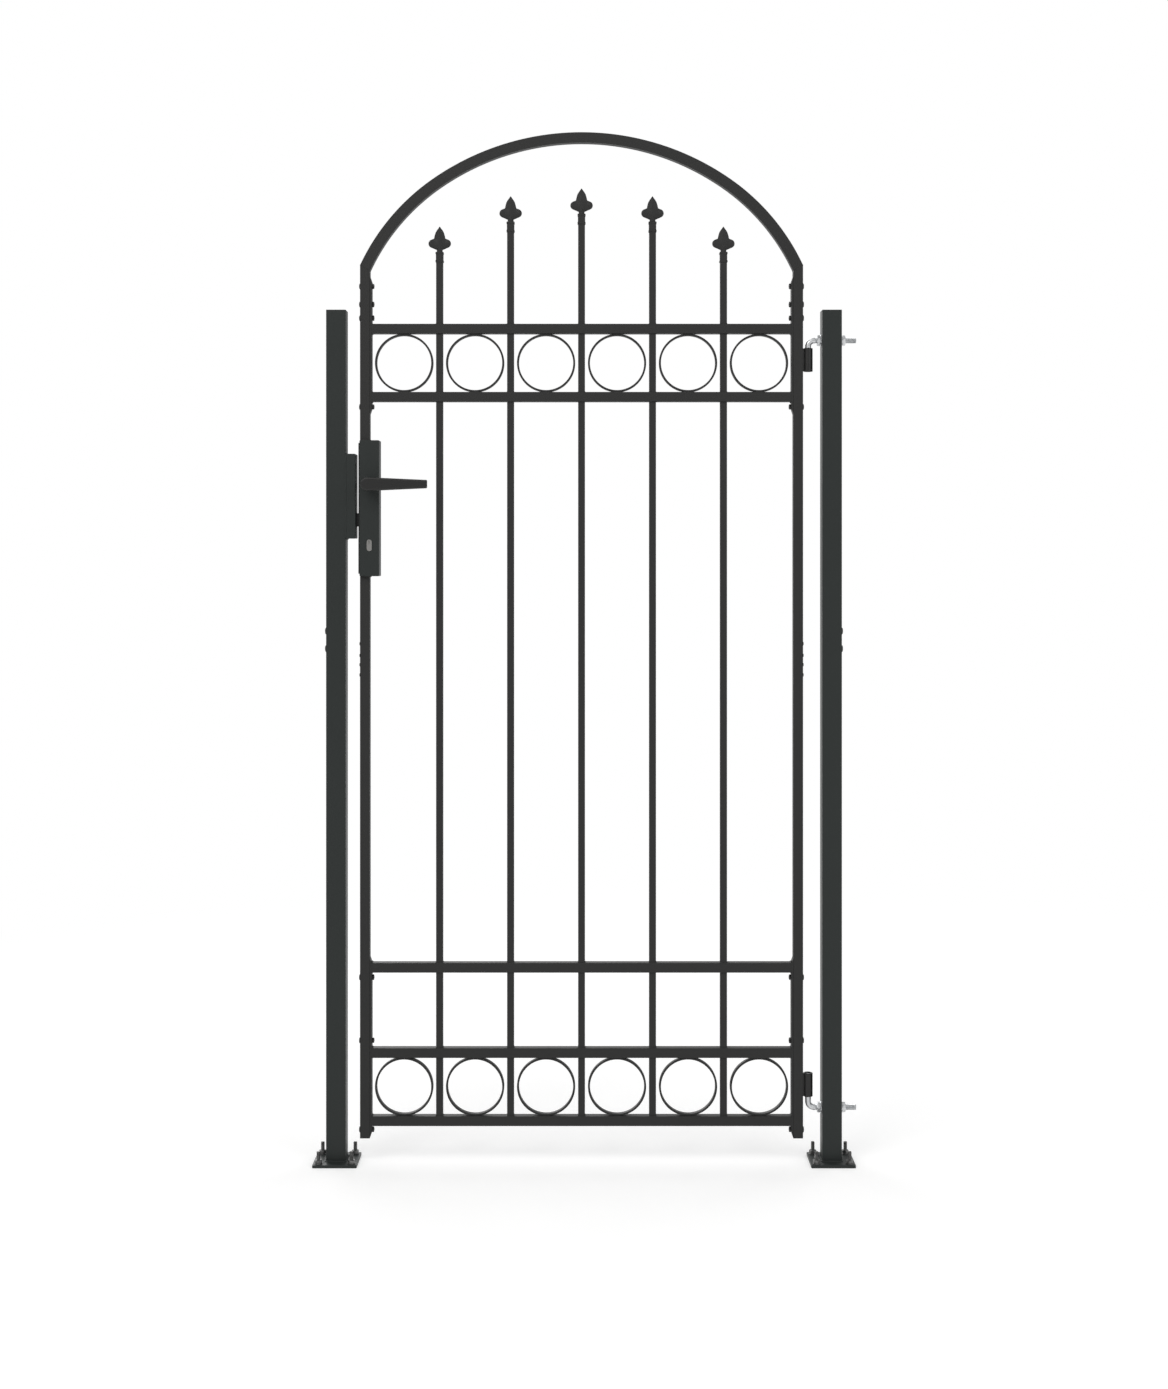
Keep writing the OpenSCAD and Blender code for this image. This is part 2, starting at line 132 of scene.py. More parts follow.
class GateFixings(bpy.types.PropertyGroup):
    """Threads, nuts, bolts and screws."""
    stud_diameter: length("Stud", 8, "Diameter of an anchor stud")
    stud_pitch: length("Stud pitch", 1.25, "Thread pitch of an anchor stud")
    stud_nut: length("Stud nut", 13, "Width across flats of an anchor nut")
    stud_nut_height: length("Stud nut height", 6.5, "Height of an anchor nut")
    pin_diameter: length("Pin", 12, "Diameter of a hinge pin")
    pin_pitch: length("Pin pitch", 1.75, "Thread pitch of a hinge pin")
    pin_bend: length("Pin bend", 12, "Radius of the bend in a hinge pin")
    pin_nut: length("Pin nut", 19, "Width across flats of a hinge pin nut")
    post_bolt: length("Post bolt head", 16, "Diameter of a post bolt's head")
    frame_bolt: length("Frame bolt head", 13, "Diameter of a frame bolt's head")
    frame_shank: length("Frame bolt", 6, "Diameter of a frame bolt")
    frame_nut: length("Frame nut", 10, "Width across flats of a frame bolt's nut")
    frame_nut_height: length("Frame nut height", 4, "Height of a frame bolt's nut")
    screw_head: length("Splice screw head", 8, "Diameter of a splice screw's head")
    screw_shank: length("Splice screw", 5, "Diameter of a splice screw")


class GateWelds(bpy.types.PropertyGroup):
    """Weld beads."""
    foot: length("Foot bead", 2.6, "Radius of the beads round the posts' feet")
    joint: length("Joint bead", 1.9, "Radius of the beads at the frame's joints")
    hinge: length("Hinge bead", 2.6, "Radius of the beads beside the hinge barrels")
    fine: length("Fine bead", 1.1, "Radius of the beads round the bars and at the rings")
    seam: length("Mitre bead", 0.9, "Radius of the ground bead at the mitres")
    ripple: length("Ripple pitch", 2.2, "Distance between two ripples of a bead")
    relief: share("Ripple relief", 0.11, "Swell of a ripple, as a share of the bead's radius")


class GateCastings(bpy.types.PropertyGroup):
    """Castings and rings."""
    spear_voxel: length("Spear voxel", 0.6, "Cell in which a spear point's volumes are joined")
    lever_voxel: length("Lever voxel", 0.9, "Cell in which the lever's volumes are joined")
    lever_edge: length("Lever edge", 3.2, "Radius on the edges of the lever's grip")
    lever_thick: length("Lever thickness", 12, "Thickness of the lever's grip")
    lever_tip: length("Lever tip", 17, "Height of the lever's grip at its tip")
    neck: length("Neck", 18, "Diameter of the lever's and the knob's necks")
    collar: length("Collar", 16.5, "Width of the collars of a spear point's socket")
    socket: length("Socket", 15, "Width of a spear point's socket")
    ring_strip: length("Ring strip", 4, "Thickness of the ring strip")
    ring_edge: length("Ring edge", 0.35, "Radius on the edges of the ring strip")


class GateFinishes(bpy.types.PropertyGroup):
    """Colours and gloss."""
    leaf: tint("Leaf paint", (0.0306, 0.0305, 0.0301), "Powder coat of the leaf")
    post: tint("Post paint", (0.0248, 0.0290, 0.0278), "Powder coat of the posts")
    cap: tint("Cap plastic", (0.022, 0.025, 0.024), "Moulded plastic of the caps")
    black: tint("Blacked steel", (0.0126, 0.0124, 0.0122), "Blacked fixings, lever and knob")
    zinc: tint("Zinc", (0.63, 0.64, 0.65), "Bright zinc of the hinge pins")
    # Painted shade: the anchor studs' zinc is made much darker than the hinge pins' zinc,
    # standing in for the shade in which the studs are seen.
    stud_zinc_with_painted_shade: tint("Dull zinc", (0.17, 0.17, 0.168), "Darkened zinc of the anchor studs")
    nickel: tint("Nickel", (0.325, 0.320, 0.308), "Plating of the key cylinder")
    leaf_rough: share("Leaf roughness", 0.50, "Roughness of the leaf's powder coat")
    leaf_gloss: share("Leaf gloss", 0.20, "Specular level of the leaf's powder coat")
    post_rough: share("Post roughness", 0.44, "Roughness of the posts' powder coat")
    post_gloss: share("Post gloss", 0.24, "Specular level of the posts' powder coat")


class GateStage(bpy.types.PropertyGroup):
    """Camera, lamps and floor."""
    eye_x: length("Eye offset", 505, "Distance of the eye to the left of the hinge post")
    eye_back: length("Eye distance", 4000, "Distance of the eye in front of the gate")
    eye_height: length("Eye height", 1239, "Height of the eye")
    lens: bpy.props.FloatProperty(
        name="Lens", description="Focal length", default=50.7, unit="CAMERA")
    shift: bpy.props.FloatProperty(
        name="Shift", description="Vertical shift of the lens", default=-0.10)
    ambient: share("Ambient", 0.62, "Level of the soft light from all round")
    floor_tone: share("Floor tone", 0.70, "Reflectance of the floor")
    floor_lift: share("Floor lift", 0.41, "Light that the floor adds of its own to be pale")
    floor_reach: length("Floor reach", 60000, "Distance of the floor's edges")
    fade_start: length("Fade start", 1600, "Distance at which the floor starts to fade")
    fade_end: length("Fade end", 3400, "Distance at which the floor has faded to white")


GROUPS = {
    "gate_tubes": GateTubes, "gate_arch": GateArch, "gate_fixings": GateFixings,
    "gate_welds": GateWelds, "gate_castings": GateCastings,
    "gate_finishes": GateFinishes, "gate_stage": GateStage,
}


# Node trees

class Signal:
    """One output of a node. Arithmetic on it adds Math nodes."""

    def __init__(self, graph, socket):
        self.graph, self.socket = graph, socket

    def __getitem__(self, key):
        return Signal(self.graph, self.socket.node.outputs[key])

    def math(self, operation, *others):
        """The result of a Math node whose first value is this one."""
        return self.graph.node("ShaderNodeMath", {"operation": operation},
                               dict(enumerate((self, *others))))

    def __add__(self, other):
        return self.math("ADD", other)

    def __sub__(self, other):
        return self.math("SUBTRACT", other)

    def __rsub__(self, other):
        return self * -1.0 + other

    def __mul__(self, other):
        return self.math("MULTIPLY", other)

    def __truediv__(self, other):
        return self.math("DIVIDE", other)

    __radd__, __rmul__ = __add__, __mul__

    def at_most(self, other):
        return self.math("MINIMUM", other)

    def at_least(self, other):
        return self.math("MAXIMUM", other)

    def ramp(self, low, high):
        """0 below low, 1 above high, and smooth between them."""
        return self.graph.node(
            "ShaderNodeMapRange", {"interpolation_type": "SMOOTHSTEP"},
            {"Value": self, "From Min": low, "From Max": high})


class Graph:
    """A node tree, and one way of adding any node to it."""

    def __init__(self, tree):
        self.tree = tree
        tree.nodes.clear()

    def node(self, kind, settings=None, inputs=None):
        """Adds a node: its settings first, then its inputs; returns its first output."""
        made = self.tree.nodes.new(kind)
        for key, value in (settings or {}).items():
            setattr(made, key, value)
        for key, value in (inputs or {}).items():
            if isinstance(value, Signal):
                self.tree.links.new(value.socket, made.inputs[key])
            else:
                made.inputs[key].default_value = value
        return next((Signal(self, out) for out in made.outputs if out.enabled), None)

    def between(self, factor, low, high):
        """A colour between two others."""
        return self.node("ShaderNodeMix", {"data_type": "RGBA"}, {
            "Factor": factor, "A": (*low, 1.0), "B": (*high, 1.0)})

    def mottled(self, factor, colour, darker, lighter):
        """A colour that wanders by shares of itself to both sides."""
        return self.between(factor, [c * (1 - darker) for c in colour],
                            [min(c * (1 + lighter), 1) for c in colour])

    def noise(self, where, scale, detail=2.0, roughness=0.5):
        return self.node("ShaderNodeTexNoise", None, {
            "Vector": where, "Scale": scale, "Detail": detail, "Roughness": roughness})

    def bump(self, height, strength, depth):
        """A normal for a relief whose depth is given in millimetres."""
        return self.node("ShaderNodeBump", None, {
            "Strength": strength, "Distance": depth * MM, "Height": height})


class Maker(Graph):
    """A geometry tree with named inputs, which ends in real faces and a material."""

    def __init__(self, name, inputs):
        super().__init__(bpy.data.node_groups.new(name, "GeometryNodeTree"))
        self.tree.is_modifier = True
        face = self.tree.interface
        self.keys = {"Geometry": face.new_socket(
            "Geometry", in_out="INPUT", socket_type="NodeSocketGeometry").identifier}
        for label, kind in inputs.items():
            self.keys[label] = face.new_socket(
                label, in_out="INPUT", socket_type="NodeSocket" + kind).identifier
        self.keys["Material"] = face.new_socket(
            "Material", in_out="INPUT", socket_type="NodeSocketMaterial").identifier
        face.new_socket("Geometry", in_out="OUTPUT", socket_type="NodeSocketGeometry")
        self.given = self.node("NodeGroupInput")

    def close(self, geometry):
        """Ends the tree."""
        real = self.node("GeometryNodeRealizeInstances", None, {"Geometry": geometry})
        done = self.node("GeometryNodeSetMaterial", None, {
            "Geometry": real, "Material": self.given["Material"]})
        self.node("NodeGroupOutput", None, {"Geometry": done})
        return self

    def run(self, data, values):
        """The plain mesh that the tree makes of some data and input values."""
        holder = placed(data)
        modifier = holder.modifiers.new("maker", "NODES")
        modifier.node_group = self.tree
        for label, value in values.items():
            modifier[self.keys[label]] = value
        return evaluated(holder)


# Meshes

def placed(data, name="scratch"):
    """A new object in the scene that holds some data."""
    holder = bpy.data.objects.new(name, data)
    bpy.context.scene.collection.objects.link(holder)
    return holder


def evaluated(holder, keep=False):
    """The plain mesh that an object's modifiers make; the object goes unless it is kept."""
    bpy.context.view_layer.update()
    depsgraph = bpy.context.evaluated_depsgraph_get()
    mesh = bpy.data.meshes.new_from_object(
        holder.evaluated_get(depsgraph), preserve_all_data_layers=True, depsgraph=depsgraph)
    if not keep:
        bpy.data.objects.remove(holder)
    return mesh


def edit(mesh, change):
    """Applies a change to a mesh through a bmesh."""
    bm = bmesh.new()
    bm.from_mesh(mesh)
    change(bm)
    bm.to_mesh(mesh)
    bm.free()
    return mesh


def outward(bm):
    bmesh.ops.recalc_face_normals(bm, faces=bm.faces)


class Shape:
    """Points and faces, gathered from rows of points."""

    def __init__(self):
        self.points, self.faces = [], []

    def loft(self, rows, loop=False):
        """Skins rows of as many points each. A loop joins the last row to the first;
        otherwise both ends are closed."""
        start, around = len(self.points), len(rows[0])
        for row in rows:
            self.points.extend(row)
        for r in range(len(rows) if loop else len(rows) - 1):
            a = start + r * around
            b = start + (r + 1) % len(rows) * around
            for i in range(around):
                j = (i + 1) % around
                self.faces.append((a + i, a + j, b + j, b + i))
        if not loop:
            last = start + (len(rows) - 1) * around
            self.faces.append(tuple(start + i for i in reversed(range(around))))
            self.faces.append(tuple(last + i for i in range(around)))
        return self

    def mesh(self):
        mesh = bpy.data.meshes.new("shape")
        mesh.from_pydata([tuple(p) for p in self.points], [], self.faces)
        return edit(mesh, outward)


def rounded(width, height, corner):
    """Outline of a rectangle with rounded corners."""
    outline = []
    for quarter in range(4):
        u = (width / 2 - corner) * (1 if quarter in (0, 3) else -1)
        v = (height / 2 - corner) * (1 if quarter < 2 else -1)
        for i in range(CORNER_STEPS + 1):
            angle = TURN / 4 * (quarter + i / CORNER_STEPS)
            outline.append((u + corner * math.cos(angle), v + corner * math.sin(angle)))
    return outline


def circle(radius, steps=ROUND_STEPS):
    return [(radius * math.cos(TURN * i / steps), radius * math.sin(TURN * i / steps))
            for i in range(steps)]


def hexagon(flats, limit=None):
    """Outline of a hexagon, held within a radius."""
    outline = []
    for i in range(HEX_STEPS):
        angle = TURN * (i / HEX_STEPS) + TURN / 12
        off = (i / HEX_STEPS * 6) % 1 - 0.5
        radius = flats / 2 / math.cos(off * TURN / 6)
        radius = min(radius, limit or radius)
        outline.append((radius * math.cos(angle), radius * math.sin(angle)))
    return outline


def ring(outline, axis, centre, at):
    """An outline set across an axis, at a distance along it."""
    u, v = (axis + 1) % 3, (axis + 2) % 3
    points = []
    for a, b in outline:
        point = Vector(centre)
        point[u] += a
        point[v] += b
        point[axis] = at
        points.append(point)
    return points


def sides(box, axis):
    """The two sides of a box across an axis, and its middle."""
    lo, hi = box
    u, v = (axis + 1) % 3, (axis + 2) % 3
    return hi[u] - lo[u], hi[v] - lo[v], middle(box)


def tube(box, axis, corner, wall, closed_foot=False):
    """A square tube with rounded corners that fills a box along an axis."""
    width, height, centre = sides(box, axis)
    lip = bpy.context.scene.gate_tubes.lip
    outer = rounded(width, height, corner)
    inner = rounded(width - 2 * wall, height - 2 * wall, max(corner - wall, lip))
    slim = rounded(width - 2 * lip, height - 2 * lip, corner - lip)
    a, b = box[0][axis], box[1][axis]
    if closed_foot:
        stack = [(inner, a + wall), (inner, b), (outer, b), (outer, a + lip), (slim, a)]
    else:
        stack = [(outer, a), (outer, b), (inner, b), (inner, a)]
    rows = [ring(outline, axis, centre, at) for outline, at in stack]
    return Shape().loft(rows, loop=not closed_foot)


def plate(box, axis, corner, edge):
    """A solid plate across an axis, with rounded corners and broken edges."""
    width, height, centre = sides(box, axis)
    outer = rounded(width, height, corner)
    slim = rounded(width - 2 * edge, height - 2 * edge, max(corner - edge, edge / 2))
    a, b = box[0][axis], box[1][axis]
    stack = [(slim, a), (outer, a + edge), (outer, b - edge), (slim, b)]
    return Shape().loft([ring(outline, axis, centre, at) for outline, at in stack])


def block(lo, hi):
    """A plain box."""
    corners = [(lo[0], lo[1]), (hi[0], lo[1]), (hi[0], hi[1]), (lo[0], hi[1])]
    return Shape().loft([[Vector((x, y, z)) for x, y in corners] for z in (lo[2], hi[2])])


def softened(mesh, width, segments=3, pick=None):
    """Rounds the sharp edges of a mesh, or those that pick names."""
    def change(bm):
        edges = [e for e in bm.edges
                 if e.calc_face_angle(0) > SHARP_ANGLE and (pick is None or pick(e))]
        bmesh.ops.bevel(bm, geom=edges, offset=width, offset_type="OFFSET",
                        segments=segments, profile=0.5, affect="EDGES",
                        clamp_overlap=True)
        outward(bm)
    return edit(mesh, change)


def lathe(profile, axis, centre, steps=ROUND_STEPS, loop=False):
    """A shape turned about an axis from (radius, distance along it) pairs."""
    rows = [ring(circle(radius, steps), axis, centre, centre[axis] + at)
            for radius, at in profile]
    return Shape().loft(rows, loop=loop)


def drill(radius, axis, centre, steps=ROUND_STEPS, start=-THROUGH, end=THROUGH):
    """A round cutter about an axis, between two distances along it."""
    return lathe([(radius, start), (radius, end)], axis, centre, steps)


def joined(*shapes):
    """Several shapes or meshes as one mesh."""
    whole = bmesh.new()
    for shape in shapes:
        whole.from_mesh(shape.mesh() if isinstance(shape, Shape) else shape)
    mesh = bpy.data.meshes.new("joined")
    whole.to_mesh(mesh)
    whole.free()
    return mesh


def carved(mesh, *cutters):
    """A mesh with the volumes of others taken out of it."""
    holder = placed(mesh)
    tools = [placed(c.mesh() if isinstance(c, Shape) else c) for c in cutters]
    for tool in tools:
        cut = holder.modifiers.new("cut", "BOOLEAN")
        cut.operation, cut.solver, cut.object = "DIFFERENCE", "EXACT", tool
    result = evaluated(holder)
    for tool in tools:
        bpy.data.objects.remove(tool)
    return result


def cast(mesh, cell, passes):
    """Joins overlapping volumes into one skin and softens it, as a casting is."""
    holder = placed(mesh)
    skin = holder.modifiers.new("skin", "REMESH")
    skin.mode, skin.voxel_size = "VOXEL", cell
    relax = holder.modifiers.new("relax", "CORRECTIVE_SMOOTH")
    relax.iterations, relax.factor, relax.use_only_smooth = passes, 0.5, True
    relax.rest_source = "ORCO"
    return evaluated(holder)


def piece(name, shape, body, slot, *nodes):
    """Makes a finished piece of a shape or mesh: it rides on a body, has the finish of
    a slot of the record, and stands for CAD nodes."""
    mesh = shape.mesh() if isinstance(shape, Shape) else shape
    mesh.name = name
    holder = placed(mesh, name)
    mesh.shade_smooth()
    mesh.set_sharp_from_angle(angle=SHARP_ANGLE)
    even = holder.modifiers.new("even", "WEIGHTED_NORMAL")
    even.keep_sharp, even.weight = True, 90
    holder.data = evaluated(holder, keep=True)
    holder.modifiers.clear()
    holder.data.materials.clear()
    holder.data.materials.append(finish(slot))
    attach(holder, body)
    if nodes:
        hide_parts(*nodes)
    return holder


def solids(node):
    """The box of each separate solid of a CAD node, from left to right."""
    bm = bmesh.new()
    bm.from_mesh(frame["nodes"][node].data)
    bmesh.ops.remove_doubles(bm, verts=bm.verts, dist=ON_FACE / 10)
    left, found = set(bm.verts), []
    while left:
        stack, island = [left.pop()], []
        while stack:
            vertex = stack.pop()
            island.append(vertex.co.copy())
            for edge in vertex.link_edges:
                other = edge.other_vert(vertex)
                if other in left:
                    left.remove(other)
                    stack.append(other)
        found.append(tuple(
            Vector([pick(p[k] for p in island) for k in range(3)]) for pick in (min, max)))
    bm.free()
    return sorted(found, key=lambda b: [round(c, 4) for c in b[0]])


def middle(box):
    return (box[0] + box[1]) / 2


# Geometry trees

def copies_maker():
    """Copies of an object at points; each looks along way and is turned by spin."""
    made = Maker("gate_copies", {"Original": "Object"})
    original = made.node("GeometryNodeObjectInfo", None, {
        "Object": made.given["Original"]})["Geometry"]
    way = made.node("GeometryNodeInputNamedAttribute", {"data_type": "FLOAT_VECTOR"},
                    {"Name": "way"})
    spin = made.node("GeometryNodeInputNamedAttribute", {"data_type": "FLOAT"},
                     {"Name": "spin"})
    aimed = made.node("FunctionNodeAlignRotationToVector", {"axis": "Z"}, {"Vector": way})
    turned = made.node("FunctionNodeRotateRotation", {"rotation_space": "LOCAL"}, {
        "Rotation": aimed,
        "Rotate By": made.node("FunctionNodeAxisAngleToRotation", None, {
            "Axis": (0, 0, 1), "Angle": spin})})
    set_out = made.node("GeometryNodeInstanceOnPoints", None, {
        "Points": made.given["Geometry"], "Instance": original, "Rotation": turned})
    return made.close(set_out)


def thread_maker():
    """A threaded rod that starts at the origin and runs up Z."""
    made = Maker("gate_thread", {
        "Diameter": "Float", "Pitch": "Float", "Depth": "Float", "Length": "Float",
        "Rows": "Int"})
    given = made.given
    rod = made.node("GeometryNodeMeshCylinder", {"fill_type": "NGON"}, {
        "Vertices": ROD_STEPS, "Side Segments": given["Rows"],
        "Radius": given["Diameter"] / 2, "Depth": given["Length"]})
    place = made.node("ShaderNodeSeparateXYZ", None, {
        0: made.node("GeometryNodeInputPosition")})
    x, y, z = place["X"], place["Y"], place["Z"]
    phase = (z / given["Pitch"] - y.math("ARCTAN2", x) / TURN).math("FRACT")
    flank, land, run_out = 2.4, 0.1, 1.2
    groove = ((phase - 0.5).math("ABSOLUTE") * flank - land).at_least(0.0).at_most(1.0)
    to_end = given["Length"] / 2 - z.math("ABSOLUTE")
    lead = 1 - (to_end / (given["Depth"] * run_out)).at_most(1.0).at_least(0.0)
    radius = given["Diameter"] / 2 - given["Depth"] * groove.at_least(lead)
    scale = radius / (given["Diameter"] / 2)
    moved = made.node("ShaderNodeCombineXYZ", None, {
        "X": x * scale, "Y": y * scale, "Z": z + given["Length"] / 2})
    return made.close(made.node("GeometryNodeSetPosition", None, {
        "Geometry": rod, "Position": moved}))


def ring_maker():
    """A row of rings of flat strip along X, standing across Y."""
    made = Maker("gate_rings", {
        "Radius": "Float", "Thickness": "Float", "Width": "Float", "Edge": "Float",
        "Count": "Int", "Start": "Vector", "Step": "Vector"})
    given = made.given
    path = made.node("GeometryNodeCurvePrimitiveCircle", None, {
        "Resolution": 112, "Radius": given["Radius"] - given["Thickness"] / 2})
    section = made.node("GeometryNodeCurvePrimitiveQuadrilateral", None, {
        "Width": given["Thickness"], "Height": given["Width"]})
    section = made.node("GeometryNodeFilletCurve", {"mode": "POLY"}, {
        "Curve": section, "Radius": given["Edge"], "Count": 3})
    strip = made.node("GeometryNodeCurveToMesh", None, {
        "Curve": path, "Profile Curve": section})
    stood = made.node("GeometryNodeTransform", None, {
        "Geometry": strip, "Rotation": (TURN / 4, 0, 0)})
    row = made.node("GeometryNodeMeshLine", None, {
        "Count": given["Count"], "Start Location": given["Start"],
        "Offset": given["Step"]})
    return made.close(made.node("GeometryNodeInstanceOnPoints", None, {
        "Points": row, "Instance": stood}))


def bead_maker():
    """Weld beads along curves, whose points carry the bead's radius."""
    made = Maker("gate_beads", {"Ripple": "Float", "Relief": "Float", "Seed": "Float"})
    given = made.given
    path = made.node("GeometryNodeResampleCurve", {"mode": "LENGTH"}, {
        "Curve": given["Geometry"], "Length": given["Ripple"] / 4})
    along = made.node("GeometryNodeSplineParameter")["Length"]
    whole = made.node("GeometryNodeSplineLength")["Length"]
    radius = made.node("GeometryNodeInputRadius")
    closed = made.node("GeometryNodeInputSplineCyclic")
    taper, blunt, lumps = 1.3, 0.12, 0.45
    near = along.at_most(whole - along) / (radius * taper)
    near = near.at_most(1.0).at_least(blunt).at_least(closed)
    dome = (near * (2 - near)).math("SQRT")
    wave = (along / given["Ripple"] * TURN).math("SINE")
    uneven = made.node("ShaderNodeTexNoise", {"noise_dimensions": "4D"}, {
        "Scale": 260.0, "Detail": 1.0, "W": given["Seed"]})
    swell = 1 + wave * given["Relief"] + (uneven - 0.5) * lumps
    section = made.node("GeometryNodeCurvePrimitiveCircle", None, {
        "Resolution": 8, "Radius": 1.0})
    return made.close(made.node("GeometryNodeCurveToMesh", None, {
        "Curve": path, "Profile Curve": section, "Scale": radius * dome * swell,
        "Fill Caps": True}))


def copies(original, places, turn=2.4):
    """Copies of a mesh at (point, direction) pairs, each turned a step further."""
    seats = bpy.data.meshes.new("seats")
    seats.from_pydata([tuple(point) for point, _ in places], [], [])
    way = seats.attributes.new("way", "FLOAT_VECTOR", "POINT")
    way.data.foreach_set("vector", [c for _, direction in places for c in direction])
    spin = seats.attributes.new("spin", "FLOAT", "POINT")
    spin.data.foreach_set("value", [i * turn for i in range(len(places))])
    holder = placed(original)
    mesh = copies_maker().run(seats, {"Original": holder})
    bpy.data.objects.remove(holder)
    return mesh


def threaded_rod(diameter, pitch, reach):
    """A mesh of a threaded rod from the origin up Z."""
    depth, rows_a_turn = pitch * 0.55, 6
    return thread_maker().run(bpy.data.meshes.new("blank"), {
        "Diameter": diameter, "Pitch": pitch, "Depth": depth, "Length": reach,
        "Rows": round(reach / pitch * rows_a_turn)})


def beads(name, runs, body, slot):
    """Weld beads as one piece, from (points, radius, closed) runs."""
    welds = bpy.context.scene.gate_welds
    paths = bpy.data.curves.new(name, "CURVE")
    paths.dimensions = "3D"
    for points, radius, closed in runs:
        spline = paths.splines.new("POLY")
        spline.points.add(len(points) - 1)
        spline.points.foreach_set("co", [c for p in points for c in (*p, 1.0)])
        spline.points.foreach_set("radius", [radius] * len(points))
        spline.use_cyclic_u = closed
    mesh = bead_maker().run(paths, {
        "Ripple": welds.ripple, "Relief": welds.relief, "Seed": 3.0})
    return piece(name, edit(mesh, outward), body, slot)


# Finishes

def painted(graph, where, colour, rough, darker, lighter):
    """Powder coat: a faint cloud in tone and gloss, and a fine orange peel."""
    cloud = graph.noise(where, scale=5.0, detail=4.0)
    speck = graph.noise(where, scale=420.0)
    peel = graph.noise(where, scale=900.0)
    return {"Base Color": graph.mottled(cloud * 0.6 + speck * 0.4, colour, darker, lighter),
            "Roughness": cloud * 0.10 + (rough - 0.05),
            "Normal": graph.bump(peel, strength=0.5, depth=0.04)}


def plated(graph, where, colour, rough, darker, lighter):
    """Zinc plating: patches of tone, fine scratches and a soft grain."""
    patch = graph.noise(where, scale=120.0, detail=3.0, roughness=0.6)
    grain = graph.noise(where, scale=1500.0)
    return {"Base Color": graph.mottled(patch.ramp(0.35, 0.65), colour, darker, lighter),
            "Metallic": 1.0, "Roughness": patch * 0.18 + grain * 0.10 + (rough - 0.14),
            "Normal": graph.bump(grain, strength=0.3, depth=0.02)}


def brushed(graph, where, colour, rough, darker, lighter):
    """Nickel plating with a fine brushed grain."""
    drawn = graph.node("ShaderNodeMapping", None, {
        "Vector": where, "Scale": (2600.0, 2600.0, 160.0)})
    line = graph.noise(drawn, scale=1.0, detail=3.0)
    return {"Base Color": graph.mottled(line, colour, darker, lighter),
            "Metallic": 1.0, "Roughness": line * 0.2 + (rough - 0.1),
            "Normal": graph.bump(line, strength=0.35, depth=0.01)}


def finish(slot):
    """The material of a slot of the record, made when it is first asked for."""
    name = "gate_" + slot
    if name in bpy.data.materials:
        return bpy.data.materials[name]
    look = bpy.context.scene.gate_finishes
    recipe, colour, rough, darker, lighter, gloss = {
        "leaf_paint": (painted, look.leaf, look.leaf_rough, 0.10, 0.10, look.leaf_gloss),
        "post_paint": (painted, look.post, look.post_rough, 0.10, 0.10, look.post_gloss),
        "cap_plastic": (painted, look.cap, 0.52, 0.08, 0.08, 0.4),
        "black_metal": (painted, look.black, 0.40, 0.14, 0.14, 0.4),
        # the anchor studs' zinc colour carries painted shade, darker than the bright zinc
        # below
        "dark_zinc": (plated, look.stud_zinc_with_painted_shade, 0.50, 0.22, 0.22, 0.5),
        "zinc": (plated, look.zinc, 0.38, 0.10, 0.10, 0.5),
        "nickel": (brushed, look.nickel, 0.34, 0.14, 0.12, 0.5),
    }[slot]
    material = bpy.data.materials.new(name)
    material.use_nodes = True
    graph = Graph(material.node_tree)
    where = graph.node("ShaderNodeTexCoord")["Object"]
    inputs = recipe(graph, where, colour, rough, darker, lighter)
    inputs["Specular IOR Level"] = gloss
    shader = graph.node("ShaderNodeBsdfPrincipled", None, inputs)
    graph.node("ShaderNodeOutputMaterial", None, {"Surface": shader})
    return material


# Fixings

def nut(flats, bore, foot, height):
    """A hexagon nut on the Z axis, with its corners turned off at both ends."""
    slope, shift, land = math.tan(math.radians(60)), TURN / 12, 0.985
    climb = [(rise * flats, flats / 2 * land + rise * flats * slope)
             for rise in (0.0, 0.035, 0.07, 0.1) if rise * flats < height / 2]
    hole = [(a * math.cos(shift) - b * math.sin(shift),
             a * math.sin(shift) + b * math.cos(shift))
            for a, b in circle(bore / 2, HEX_STEPS)]
    stack = [(hole, 0.0), *((hexagon(flats, limit), at) for at, limit in climb),
             *((hexagon(flats, limit), height - at) for at, limit in reversed(climb)),
             (hole, height)]
    return Shape().loft([ring(outline, 2, ORIGIN, foot + at) for outline, at in stack],
                        loop=True)


def washer(outer, bore, foot, height):
    """A washer on the Z axis, with its punched edges rounded."""
    edge = height * 0.3
    half, hole = outer / 2, bore / 2
    profile = [(hole, foot), (half - edge, foot), (half, foot + edge),
               (half, foot + height - edge), (half - edge, foot + height),
               (hole, foot + height)]
    return lathe(profile, 2, ORIGIN, HEX_STEPS, loop=True)


def bolt_head(diameter, height, shank, depth, drive, grip):
    """A domed head on the Z axis with a recess for its key, on a shank below it."""
    dome, key, cross, arm_end = 0.42, 0.42, 0.25, 0.38
    rows = [ring(circle(shank / 2, HEX_STEPS), 2, ORIGIN, at) for at in (-grip, 0)]
    for share_up in (0.0, 0.25, 0.5, 0.72, 0.88, 0.97, 1.0):
        radius = diameter / 2 * (1 - dome * (1 - math.sqrt(1 - share_up ** 2)))
        rows.append(ring(circle(radius, HEX_STEPS), 2, ORIGIN, height * share_up))
    for at in (height, height - depth):
        if drive == "hexagon":
            outline = hexagon(diameter * key)
            outline = outline[-HEX_STEPS // 12:] + outline[:-HEX_STEPS // 12]
        else:
            arms = [1 - arm_end + arm_end * math.cos(4 * TURN * i / HEX_STEPS)
                    for i in range(HEX_STEPS)]
            outline = [(a * arm, b * arm) for arm, (a, b) in
                       zip(arms, circle(diameter * cross, HEX_STEPS))]
        rows.append(ring(outline, 2, ORIGIN, at))
    return Shape().loft(rows)


